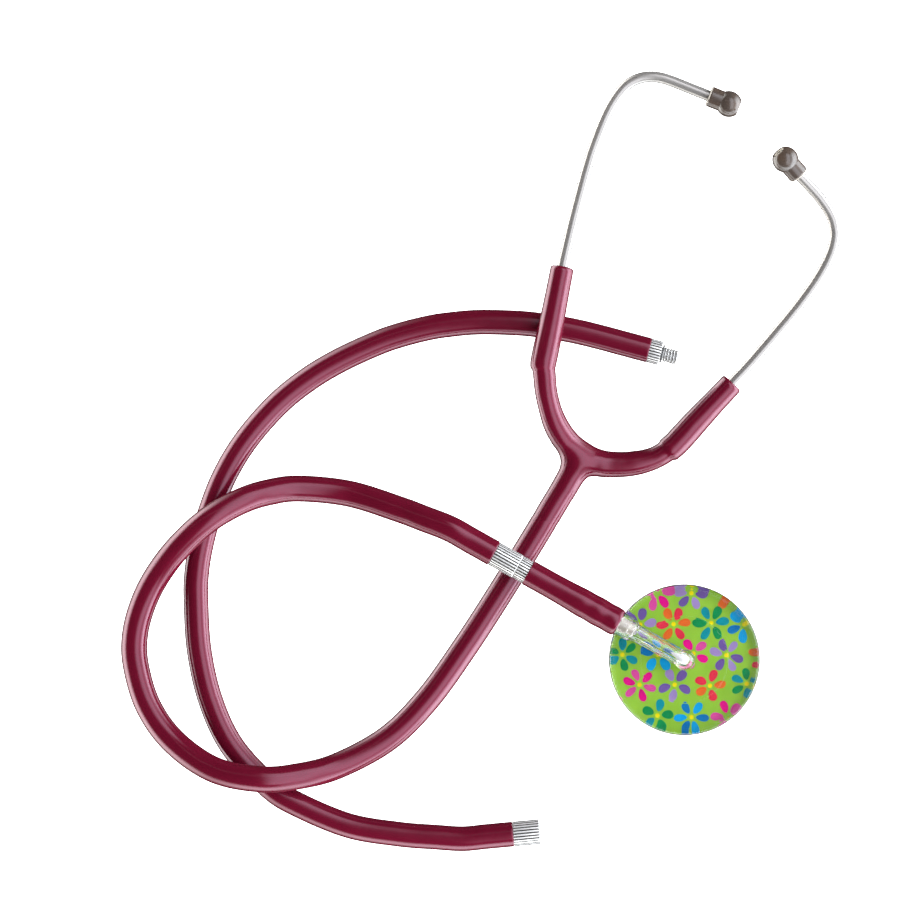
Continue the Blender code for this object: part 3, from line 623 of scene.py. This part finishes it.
def tube_field(route, spots):
    """Distance outside a tube's skin, and the way out of it, at each spot."""
    best = np.full(len(spots), np.inf)
    way = np.zeros((len(spots), 3))
    for a, b in zip(route, route[1:]):
        run = b[:3] - a[:3]
        t = np.clip(((spots - a[:3]) @ run) / (run @ run), 0.0, 1.0)
        off = spots - a[:3] - t[:, None] * run
        distance = np.sqrt((off ** 2).sum(1))
        value = distance - (a[3] + t * (b[3] - a[3]))
        closer = value < best
        best[closer] = value[closer]
        way[closer] = off[closer] / np.maximum(distance[closer], 1e-9)[:, None]
    return best, way


def merged(first, second, size):
    """Smooth union of two fields, with a fillet of about size."""
    (a, a_way), (b, b_way) = first, second
    share = np.clip(1.0 - np.abs(a - b) / size, 0.0, 1.0)
    value = np.minimum(a, b) - share ** 2 * size / 4
    near = np.where(a < b, 1.0 - share / 2, share / 2)[:, None]
    return value, a_way * near + b_way * (1.0 - near)


def trimmed(field, spots, tip, direction, size):
    """Field cut off square beyond tip, with a rounded lip of about size."""
    value, way = field
    plane = (spots - np.array(tip)) @ np.array(direction)
    share = np.clip(1.0 - np.abs(value - plane) / size, 0.0, 1.0)
    near = np.where(value > plane, 1.0 - share / 2, share / 2)[:, None]
    return (np.maximum(value, plane) + share ** 2 * size / 4,
            way * near + np.array(direction) * (1.0 - near))


class Moulding:
    """The Y moulding's skin as one smooth field: bow, stem and two swollen arms."""

    def __init__(self):
        self.left = (joint_place("left_arm_flex"), joint_place("left_ear_tube_turn"))
        self.right = (joint_place("right_arm_flex"), joint_place("right_ear_tube_turn"))
        self.bow = self.fine(self.inner_lead(*self.left)[::-1] + LEFT_LIMB + [JUNCTION] + RIGHT_LIMB
                             + self.inner_lead(*self.right))
        self.stem = self.fine(STEM_LIMB)
        self.left_arm = self.fine(LEFT_ARM_ROOT + self.arm(*self.left, outward=(-1.0, 0.0, 0.3)))
        self.right_arm = self.fine(RIGHT_ARM_ROOT + self.arm(*self.right, outward=(0.7, -0.7, 0.3)))

    @staticmethod
    def fine(route):
        return np.array([tuple(p) for p in smooth_route(route, 0.4 * MM)])

    @staticmethod
    def inner_lead(pivot, sleeve_end):
        """The limb carried on inside its arm."""
        axis = (sleeve_end - pivot).normalized()
        return [(*(pivot + axis * reach * MM), radius * MM) for reach, radius in ((0.0, 4.4), (5.0, 4.0))]

    @staticmethod
    def arm(pivot, sleeve_end, outward):
        """Straight sleeve, swollen outwards where it grips the ferrule, from its root to past its lip."""
        axis = (sleeve_end - pivot).normalized()
        length = (sleeve_end - pivot).length / MM
        side = Vector(outward).normalized()
        stations = [(0.0, 4.95, 0.2), (3.5, 5.03, 0.2), (7.0, 5.02, 0.15), (11.0, 4.92, 0.05),
                    (17.0, 4.72, 0.0), (length - 9.0, 4.52, 0.0), (length, 4.45, 0.0),
                    (length + 3.0, 4.45, 0.0)]
        return [(*(pivot + axis * d * MM + side * shift * MM), radius * MM)
                for d, radius, shift in stations]

    def field(self, spots):
        result = merged(tube_field(self.bow, spots), tube_field(self.stem, spots), CROTCH_FILLET)
        for route, (pivot, end) in ((self.left_arm, self.left), (self.right_arm, self.right)):
            start, after = Vector(route[0, :3]), Vector(route[8, :3])
            back = (start - after).normalized()
            arm = trimmed(tube_field(route, spots), spots, start - back * 1.6 * MM, back, ROOT_LIP)
            result = merged(result, arm, ARM_FILLET)
            result = trimmed(result, spots, end, (end - pivot).normalized(), MOUTH_LIP)
        return result

    def settle(self, mesh):
        """Move a mesh's points on to the skin."""
        spots = points_of(mesh)
        for _ in range(4):
            value, way = self.field(spots)
            spots -= value[:, None] * way
        mesh.vertices.foreach_set("co", spots.ravel())
        mesh.update()

    def shade(self, mesh):
        """Shade by the skin's own directions, and flat across the cut."""
        _, way = self.field(points_of(mesh))
        way = evened(mesh, way, 4)
        normals = []
        for polygon in mesh.polygons:
            if abs(polygon.normal.dot(CUT_NORMAL)) > 0.999 and polygon.area > 10 * MM * MM:
                normals += [tuple(polygon.normal)] * polygon.loop_total
            else:
                normals += [tuple(way[v]) for v in polygon.vertices]
        mesh.shade_smooth()
        mesh.normals_split_custom_set(normals)


def evened(mesh, way, rounds):
    """Average each point's direction with its neighbours', a few times."""
    edges = np.zeros(len(mesh.edges) * 2, int)
    mesh.edges.foreach_get("vertices", edges)
    a, b = edges.reshape(-1, 2).T
    for _ in range(rounds):
        total = way.copy()
        np.add.at(total, a, way[b])
        np.add.at(total, b, way[a])
        way = total / np.linalg.norm(total, axis=1)[:, None]
    return way


def points_of(mesh):
    spots = np.zeros(len(mesh.vertices) * 3)
    mesh.vertices.foreach_get("co", spots)
    return spots.reshape(-1, 3)


def swept(route, sides=20):
    """Rough closed tube along (x, y, z, radius) points, as vertices and faces."""
    spots = [Vector(p[:3]) for p in route]
    vertices = []
    for index, spot in enumerate(spots):
        ahead = spots[min(index + 1, len(spots) - 1)] - spots[max(index - 1, 0)]
        side = ahead.cross(Vector((0, 0, 1))).normalized()
        up = side.cross(ahead).normalized()
        for step in range(sides):
            angle = 2 * math.pi * step / sides
            vertices.append(spot + (side * math.cos(angle) + up * math.sin(angle)) * route[index][3])
    rings = [list(range(row * sides, (row + 1) * sides)) for row in range(len(spots))]
    return vertices, walls(rings) + [rings[0][::-1], rings[-1]]


def make_rough_y(moulding):
    """All the Y's tubes in one mesh, remeshed into one closed skin."""
    vertices, faces = [], []
    for route in (moulding.bow, moulding.stem, moulding.left_arm[5:-8], moulding.right_arm[5:-8]):
        more, cells = swept(route)
        faces += [[v + len(vertices) for v in cell] for cell in cells]
        vertices += more
    rough = face_out(add_mesh("rough_y", vertices, faces))
    remesh = rough.modifiers.new("Remesh", "REMESH")
    remesh.mode = "VOXEL"
    remesh.voxel_size = 0.55 * MM
    mesh = baked(rough)
    bpy.data.objects.remove(rough)
    return mesh


def half_of(mesh, name, keep_front):
    """The part of a mesh on one side of the cut, closed flat across it."""
    bm = bmesh.new()
    bm.from_mesh(mesh)
    bmesh.ops.bisect_plane(bm, geom=bm.verts[:] + bm.edges[:] + bm.faces[:], dist=1e-6, plane_co=CUT_SPOT,
                           plane_no=CUT_NORMAL, clear_inner=keep_front, clear_outer=not keep_front)
    rim = [e for e in bm.edges if e.is_boundary]
    bmesh.ops.edgeloop_fill(bm, edges=rim)
    bmesh.ops.recalc_face_normals(bm, faces=bm.faces)
    half = bpy.data.meshes.new(name)
    bm.to_mesh(half)
    bm.free()
    return linked(name, half)


def make_y_moulding():
    moulding = Moulding()
    mesh = make_rough_y(moulding)
    moulding.settle(mesh)
    left = half_of(mesh, "y_moulding_left", keep_front=False)
    right = half_of(mesh, "y_moulding_right", keep_front=True)
    for piece in (left, right):
        moulding.shade(piece.data)
    dress(left, None, "burgundy_pvc", ("y_arm_left", "y_junction"))
    dress(right, None, "burgundy_pvc", ("y_arm_right",))
    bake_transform(left)
    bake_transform(right)


# ---------------- headset
def make_ear_tube(side, plan, tip_base, tip_heading, turn, tilt):
    """Chromed tube from inside its sleeve to inside its tip; gives the tip's base and direction."""
    pivot = joint_place(side + "_arm_flex")
    sleeve_end = joint_place(side + "_ear_tube_turn")
    direction = (sleeve_end - pivot).normalized()
    reach = heading(tip_heading) * MM
    beyond = (tip_base[0] + reach.x, tip_base[1] + reach.y)
    spots = tilted(list(plan) + [tip_base, beyond], sleeve_end, direction, turn, tilt)
    base = spots[-2]
    tip_way = (spots[-1] - base).normalized()
    run = smooth_route([sleeve_end] + spots[:-2] + [base], 1.2 * MM)
    points = [pivot + direction * 4 * MM] + run + [base + tip_way * TUBE_IN_TIP]
    tube = tube_curve("ear_tube_" + side + "_chrome", points, [1.0] * len(points), EAR_TUBE_R, 11)
    dress(tube, side + "_ear_tube", "ear_tube_chrome", ("ear_tube_" + side,))
    return base, tip_way


def arc(centre, radius, start, end, count):
    """Profile points on a circle about (0, centre), angles in degrees up from the +r axis."""
    angles = [math.radians(start + (end - start) * i / (count - 1)) for i in range(count)]
    return [(radius * math.cos(a), centre + radius * math.sin(a)) for a in angles]


def make_ear_tip(side, base, tip_way):
    """Soft mushroom tip with a sound hole in its flat front, and the cream bush in its base."""
    collar = softened([(3.3, 0.36), (3.75, 0.36), (3.98, 0.7), (3.92, 5.1)], 0.25)
    dome = arc(8.2, 5.0, -38.0, 51.0, 18)
    front = softened([dome[-1], (2.95, 12.25), (2.5, 12.25), (2.4, 11.8), (1.0, 11.8), (1.0, 9.2),
                      (0.0, 9.2)], 0.25)
    tip = turned("ear_tip_soft_" + side, [(0.0, 0.36)] + collar + dome + front[1:], 64)
    place(shade(tip, 40.0), base, tip_way)
    dress(tip, side + "_ear_tip", "smoky_silicone", ("ear_tip_" + side,))
    edge = softened([(2.4, 0.02), (3.55, -0.02), (3.86, 0.12), (3.8, 0.40), (2.9, 0.45), (2.9, 4.0)], 0.12)
    bush = turned("ear_tip_bush_ring_" + side, edge + [(2.4, 4.0)], 64)
    place(shade(bush, 40.0), base, tip_way)
    dress(bush, side + "_ear_tube", "cream_plastic", ("ear_tip_bush_" + side,))


def make_tip_insert(side, base, tip_way):
    """Pale insert in the tip's front, round its sound hole."""
    edge = [(0.95, 11.5), (2.36, 11.5), (2.36, 12.0), (0.95, 12.0), (0.95, 11.5)]
    insert = turned("ear_tip_insert_" + side, softened(edge, 0.1)[:-1], 48)
    place(shade(insert, 40.0), base, tip_way)
    dress(insert, side + "_ear_tip", "cream_plastic")


def make_headset():
    ends = {side: make_ear_tube(side, **facts) for side, facts in EAR_TUBES.items()}
    for side, (base, tip_way) in ends.items():
        make_ear_tip(side, base, tip_way)
        make_tip_insert(side, base, tip_way)


# ---------------- chestpiece
DISC_R = 28.575  # mm
DISC_LOW = 4.9  # mm
DISC_STEPS = 160


def along_stem(piece):
    """Put a turned piece on the stem's axis, with its heights measured from the disc's centre."""
    return place(piece, on_stem_axis(0.0), heading(STEM_ANGLE))


def make_chest_hose():
    """Short hose, swollen in waves where the nipple's ridges stretch it."""
    wavy = [(3.0, 28.36), (4.9, 28.36), (5.3, 29.0), (5.44, 31.0), (5.34, 34.0), (5.52, 37.5),
            (5.38, 41.0), (5.42, 44.5), (5.24, 48.5), (5.08, 53.0), (5.0, 58.0), (5.0, 63.0),
            (5.0, 67.2), (4.9, 67.78)]
    crest = smooth_profile(wavy[2:-1])
    edge = [wavy[0]] + softened([wavy[0], wavy[1], crest[0]], 0.4)[1:-1] + crest
    edge += softened([crest[-1], (5.0, 67.78), (2.8, 67.78)], 0.15)[1:]
    hose = turned("chest_hose_soft", edge, 64)
    along_stem(shade(hose, 45.0))
    return dress(hose, "chest_tube", "burgundy_pvc", ("chest_hose",))


def smooth_profile(profile):
    """Profile points carried on a smooth curve."""
    flat = [(r, z, 0.0) for r, z in profile]
    return [(p[0], p[1]) for p in smooth_route(flat, 0.8)]


def make_chest_nipple():
    """Cream nipple that shows through the clear collar: a thick part, then a thin neck."""
    edge = [(1.2, 21.9), (1.9, 21.9), (1.9, 24.6), (2.75, 24.6), (2.75, 31.2), (2.2, 33.0),
            (1.2, 33.0)]
    nipple = turned("chest_nipple_cream", softened(edge, 0.2), 64)
    along_stem(shade(nipple, 40.0))
    return dress(nipple, "chest_tube", "cream_plastic", ("chest_nipple",))


def make_chest_stem():
    """Clear stem: bored tube with a collar at the hose and a ball over the sound port."""
    inner = [(0.0, -1.6), (1.3, -1.1), (1.9, 0.3), (1.9, 21.6), (2.2, 21.6), (2.2, 24.3), (3.05, 24.3),
             (3.05, 28.3)]
    collar = [(4.15, 28.3), (4.35, 28.0), (4.35, 22.8), (4.2, 22.4), (3.55, 21.7), (3.3, 20.9),
              (3.3, 3.4)]
    ball = arc(0.0, 3.95, 36.0, -90.0, 18)
    edge = softened(inner + collar, 0.15, 3) + ball[:-1] + [(0.0, -3.95)]
    stem = turned("chest_stem_clear", edge, 72)
    along_stem(shade(stem, 40.0))
    return dress(stem, "chestpiece", "clear_acrylic", ("chest_stem",))


def stem_slot(points, low):
    """Upright cutter over the stem's line, from (distance, half width) points, down to a height."""
    way = heading(STEM_ANGLE)
    across = Vector((-way.y, way.x, 0.0))
    sides = [(d, w) for d, w in points] + [(d, -w) for d, w in reversed(points)]
    outline = [tuple((way * d + across * w).to_2d()) for d, w in sides]
    vertices, faces = prism(outline, low, 20.0, DISC_CENTRE)
    return face_out(add_mesh("stem_slot", vertices, faces))


def make_chest_body():
    """Clear acrylic disc with a bevelled rim, a faint step round its middle and a seat for the stem."""
    top = [(0.0, 12.6), (8.0, 12.57), (16.3, 12.48), (16.7, 12.34), (20.0, 12.29), (26.6, 12.1),
           (27.7, 11.6), (28.3, 10.9), (DISC_R, 9.9), (DISC_R, 5.2), (28.3, DISC_LOW)]
    body = turned("chest_body_clear", softened(top, 0.35, 3) + [(0.0, DISC_LOW)], DISC_STEPS)
    place(body, DISC_CENTRE, (0, 0, 1))
    pocket = circle(4.1, 48)[1:24]
    slots = [stem_slot([(3.0, 3.42), (31.0, 3.42)], 11.72), stem_slot([(21.3, 4.45), (31.0, 4.45)], 10.66),
             stem_slot(pocket[::-1], 11.07)]
    for slot in slots:
        cut = body.modifiers.new("Seat", "BOOLEAN")
        cut.operation = "DIFFERENCE"
        cut.solver = "EXACT"
        cut.object = slot
    mesh = baked(body)
    body.modifiers.clear()
    body.data = mesh
    for slot in slots:
        bpy.data.objects.remove(slot)
    shade(body, 30.0)
    dress(body, "chestpiece", "clear_acrylic", ("chest_body",), MATERIALS["disc_acrylic"])
    # painted shade: the outer wall takes the dark material, for the dark outline round the disc's edge
    body.data.materials.append(MATERIALS["painted_rim_shade"])  # darker, on the outer wall only
    for polygon in body.data.polygons:
        if math.hypot(*polygon.center[:2]) > 0.985 * DISC_R * MM:
            polygon.material_index = 1
    return body


def make_rim():
    edge = [(27.68, 4.6), (DISC_R, 4.6), (DISC_R, 0.4), (28.2, 0.0), (24.8, 0.0), (24.8, 0.6),
            (27.68, 0.6), (27.68, 4.6)]
    rim = turned("diaphragm_rim_clear", softened(edge, 0.12, 2)[:-1], DISC_STEPS)
    place(shade(rim, 30.0), DISC_CENTRE, (0, 0, 1))
    # painted shade: the rim takes the same dark material as the disc's outer wall
    return dress(rim, "chestpiece", "clear_acrylic", ("diaphragm_ring",), MATERIALS["painted_rim_shade"])


def make_port_highlight():
    """Painted highlight: a white teardrop at the end of the stem's bore, where light refracted in the bore
    shows white; round over the port, drawn out to a point.
    """
    edge = [(0.0, -1.5)] + arc(0.3, 1.7, -70.0, 10.0, 10)
    highlight_piece = turned("painted_port_highlight", edge + [(1.55, 1.3), (1.05, 3.2), (0.45, 5.2), (0.0, 6.2)], 48)
    along_stem(shade(highlight_piece, 50.0))
    # painted highlight: the white teardrop stands for light refracted in the bore
    return dress(highlight_piece, "chestpiece", "white_plastic")


# ---------------- flower print
PRINT_TOP = 4.60  # mm
INK = 0.06  # mm
PRINT_R = 27.3  # mm
FLOWER_SPACING = 13.3  # mm


def petal_outline(random_source, centre, angle, inner, length, width):
    """Egg shape that widens away from the flower's middle, with an uneven hand-cut edge."""
    wave, lean = random_source.uniform(0, 6.28), random_source.uniform(-0.12, 0.12)
    outline = []
    for step in range(26):
        t = 2 * math.pi * step / 26
        along = 0.5 - 0.5 * math.cos(t)
        half = math.sin(t) * 0.5 * width * (0.72 + 0.42 * along)
        reach = inner + length * along
        ripple = 1.0 + 0.03 * math.sin(3 * t + wave)
        x, y = reach, half * ripple + lean * length * along * along
        outline.append((centre[0] + x * math.cos(angle) - y * math.sin(angle),
                        centre[1] + x * math.sin(angle) + y * math.cos(angle)))
    return outline


def between(first, second, share):
    return (first[0] + (second[0] - first[0]) * share, first[1] + (second[1] - first[1]) * share)


def clipped(outline, radius):
    """The part of a convex outline inside a circle round the disc's centre."""
    inside = [p for p in outline if math.hypot(*p) <= radius]
    if len(inside) < 4:
        return None
    anchor = (sum(p[0] for p in inside) / len(inside), sum(p[1] for p in inside) / len(inside))
    kept = []
    for spot in outline:
        if math.hypot(*spot) <= radius:
            kept.append(spot)
            continue
        low, high = 0.0, 1.0
        for _ in range(20):
            middle = (low + high) / 2
            if math.hypot(*between(anchor, spot, middle)) <= radius:
                low = middle
            else:
                high = middle
        kept.append(between(anchor, spot, low))
    return kept


def flower_places(random_source):
    """Middles on a staggered grid, with a colour pair for each."""
    places = []
    row_gap = FLOWER_SPACING * 0.87
    for row in range(-3, 4):
        for column in range(-3, 4):
            x = (column + 0.5 * (row % 2)) * FLOWER_SPACING + random_source.uniform(-0.5, 0.5)
            y = row * row_gap + random_source.uniform(-0.5, 0.5)
            pair = PAIRS[(2 * column + row) % len(PAIRS)]
            if math.hypot(x, y) < PRINT_R + 6.0:
                places.append((x + 3.0, y + 2.0, pair))
    return places


def make_flower_print():
    """Generic flower print: two-tone petals round yellow middles, as raised ink on a green disc."""
    random_source = random.Random(11)
    shapes = {name: [] for name in PAINTS}
    for x, y, pair in flower_places(random_source):
        count = random_source.choice((5, 5, 6))
        turn = random_source.uniform(0, 6.28)
        size = random_source.uniform(0.92, 1.08)
        for index in range(count):
            angle = turn + 2 * math.pi * index / count + random_source.uniform(-0.12, 0.12)
            outline = petal_outline(random_source, (x, y), angle, 1.65 * size,
                                    random_source.uniform(4.5, 5.0) * size,
                                    random_source.uniform(3.0, 3.5) * size * (1.08 if count == 5 else 0.95))
            shapes[pair[index % 2]].append(clipped(outline, PRINT_R))
        shapes["yellow"].append(clipped(circle(0.85, 20, x, y), PRINT_R))
    for name, outlines in shapes.items():
        vertices, faces = [], []
        for index, outline in enumerate(outlines):
            if outline is None:
                continue
            top = PRINT_TOP + INK + 0.001 * index
            more, cells = prism(outline, PRINT_TOP, top, DISC_CENTRE)
            faces += [[v + len(vertices) for v in cell] for cell in cells]
            vertices += more
        print_piece = add_mesh("print_" + name, vertices, faces)
        dress(print_piece, "chestpiece", "flower_print", material=make_paint(name))


# ---------------- stage
def calc(tree, operation, *values):
    node = tree.nodes.new("ShaderNodeMath")
    node.operation = operation
    for socket, value in zip(node.inputs, values):
        if isinstance(value, (int, float)):
            socket.default_value = value
        else:
            tree.links.new(value, socket)
    return node.outputs[0]


def ramp(tree, value, low, high):
    """Smooth step from 0 at low to 1 at high."""
    node = tree.nodes.new("ShaderNodeMapRange")
    node.interpolation_type = "SMOOTHSTEP"
    node.inputs["From Min"].default_value = low
    node.inputs["From Max"].default_value = high
    tree.links.new(value, node.inputs["Value"])
    return node.outputs["Result"]


def band(tree, value, low, high, soft):
    """1 between low and high, 0 outside, with soft edges."""
    rise = ramp(tree, value, low - soft, low + soft)
    fall = calc(tree, "SUBTRACT", 1.0, ramp(tree, value, high - soft, high + soft))
    return calc(tree, "MULTIPLY", rise, fall)


def product(tree, *values):
    result = values[0]
    for value in values[1:]:
        result = calc(tree, "MULTIPLY", result, value)
    return result


def azimuth(tree, east, north, degrees):
    """Cosine of the angle between a level direction and a bearing."""
    angle = math.radians(degrees)
    return summed(tree, 0.0, [(math.cos(angle), east), (math.sin(angle), north)])


def summed(tree, base, parts):
    """A base plus the product of each pair, such as a strength and its mask."""
    total = base
    for strength, mask in parts:
        total = calc(tree, "ADD", calc(tree, "MULTIPLY", mask, strength), total)
    return total


# Low soft boxes: bearing in degrees, strength, then where each fades in: by the cosine to its bearing,
# by height from its foot up, and by height from its top down.
LOW_BOXES = [
    (172, 10.4, (0.30, 0.85), (-0.85, -0.20), (0.36, -0.02)),
    (357, 11.0, (0.50, 1.0), (-0.80, 0.0), (0.60, 0.20)),
    (280, 7.5, (0.50, 0.94), (-0.65, -0.05), (0.42, 0.08)),
]


def studio_light(tree):
    """Soft boxes of a studio, as brightness by direction: two and a strip overhead, and the low ones
    all round except to the north, which reach below the table's top."""
    direction = tree.nodes.new("ShaderNodeTexCoord").outputs["Generated"]
    axes = tree.nodes.new("ShaderNodeSeparateXYZ")
    tree.links.new(direction, axes.inputs[0])
    x, y, z = axes.outputs
    high = calc(tree, "MAXIMUM", z, 0.02)
    u = calc(tree, "DIVIDE", x, high)
    v = calc(tree, "DIVIDE", y, high)
    flat = calc(tree, "SQRT", summed(tree, 1e-6, [(x, x), (y, y)]))
    east = calc(tree, "DIVIDE", x, flat)
    north = calc(tree, "DIVIDE", y, flat)
    above = ramp(tree, z, 0.0, 0.02)
    overhead = summed(tree, 0.04, [
        (4.2, product(tree, ramp(tree, u, -0.04, 0.38), band(tree, u, -9.0, 0.80, 0.22),
                      band(tree, v, -1.1, 1.3, 0.25), above)),
        (2.2, product(tree, ramp(tree, u, 0.5, 0.9), band(tree, v, -2.5, 1.2, 0.3), above)),
        (1.3, product(tree, band(tree, v, 0.52, 0.60, 0.02), band(tree, u, -1.2, 1.2, 0.3), above)),
    ])
    low = summed(tree, 0.0, [
        (strength, product(tree, ramp(tree, azimuth(tree, east, north, bearing), *sides),
                           ramp(tree, z, *foot), ramp(tree, z, *top)))
        for bearing, strength, sides, foot, top in LOW_BOXES
    ])
    return overhead, low, east


def make_world():
    world = bpy.data.worlds.new("studio")
    bpy.context.scene.world = world
    world.use_nodes = True
    tree = world.node_tree
    tree.nodes.clear()
    overhead, low, east = studio_light(tree)
    eastward = ramp(tree, east, -0.8, 0.8)
    lit = tree.nodes.new("ShaderNodeAddShader")
    for socket, strength, colours in ((0, overhead, ((1.0, 0.90, 0.85), (0.90, 0.92, 1.0))),
                                      (1, low, ((0.99, 0.98, 0.94), (0.88, 0.94, 1.0)))):
        glow = tree.nodes.new("ShaderNodeBackground")
        tree.links.new(strength, glow.inputs["Strength"])
        tree.links.new(mixed_colour(tree, eastward, *colours), glow.inputs["Color"])
        tree.links.new(glow.outputs[0], lit.inputs[socket])
    seen = tree.nodes.new("ShaderNodeBackground")
    path = tree.nodes.new("ShaderNodeLightPath")
    choice = tree.nodes.new("ShaderNodeMixShader")
    output = tree.nodes.new("ShaderNodeOutputWorld")
    tree.links.new(path.outputs["Is Camera Ray"], choice.inputs[0])
    tree.links.new(lit.outputs[0], choice.inputs[1])
    tree.links.new(seen.outputs[0], choice.inputs[2])
    tree.links.new(choice.outputs[0], output.inputs[0])


def make_floor():
    """Plain round white table top, which glossy pieces don't mirror and which the camera sees as white."""
    edge = circle(4.0, 96)
    floor = add_mesh("table", [(x, y, -0.1 * MM) for x, y in edge], [list(range(len(edge)))])
    material = make_material("table_white", ((0.30, 0.30, 0.30), (0.29, 0.29, 0.29)), (0.6, 0.7),
                             cells=(3.0, 20.0, 100.0), Emission_Color=(1.0, 1.0, 1.0, 1.0),
                             Specular_IOR_Level=0.1)
    tree = material.node_tree
    path = tree.nodes.new("ShaderNodeLightPath")
    glow = calc(tree, "ADD", calc(tree, "MULTIPLY", path.outputs["Is Camera Ray"], 2.0), 0.7)
    tree.links.new(glow, tree.nodes["Principled BSDF"].inputs["Emission Strength"])
    floor.data.materials.append(material)
    floor.visible_glossy = False


def paint_cad_nodes():
    """Procedural materials for the CAD nodes that stay: inner pieces and the print's green disc."""
    kept = {
        "leaf_spring": "spring_steel", "ear_tube_ferrule_left": "knurled_steel",
        "ear_tube_ferrule_right": "knurled_steel", "coupling_o_ring": "black_rubber",
        "extension_o_ring": "black_rubber", "pattern_disc": "flower_print", "chest_base": "white_plastic",
        "diaphragm": "white_plastic",
    }
    for node, name in kept.items():
        data = NODES[node].data
        data.materials.clear()
        data.materials.append(MATERIALS[name])


def main():
    make_camera()
    main_tubing = make_main_tubing()
    spare_tubing = make_spare_tubing()
    fittings = make_couplings()
    make_y_moulding()
    make_headset()
    make_chest_hose()
    make_chest_nipple()
    make_chest_stem()
    make_chest_body()
    make_rim()
    make_port_highlight()
    make_flower_print()
    paint_cad_nodes()
    make_world()
    make_floor()
    bpy.context.scene.view_settings.view_transform = "Standard"


MATERIALS = make_materials()
main()
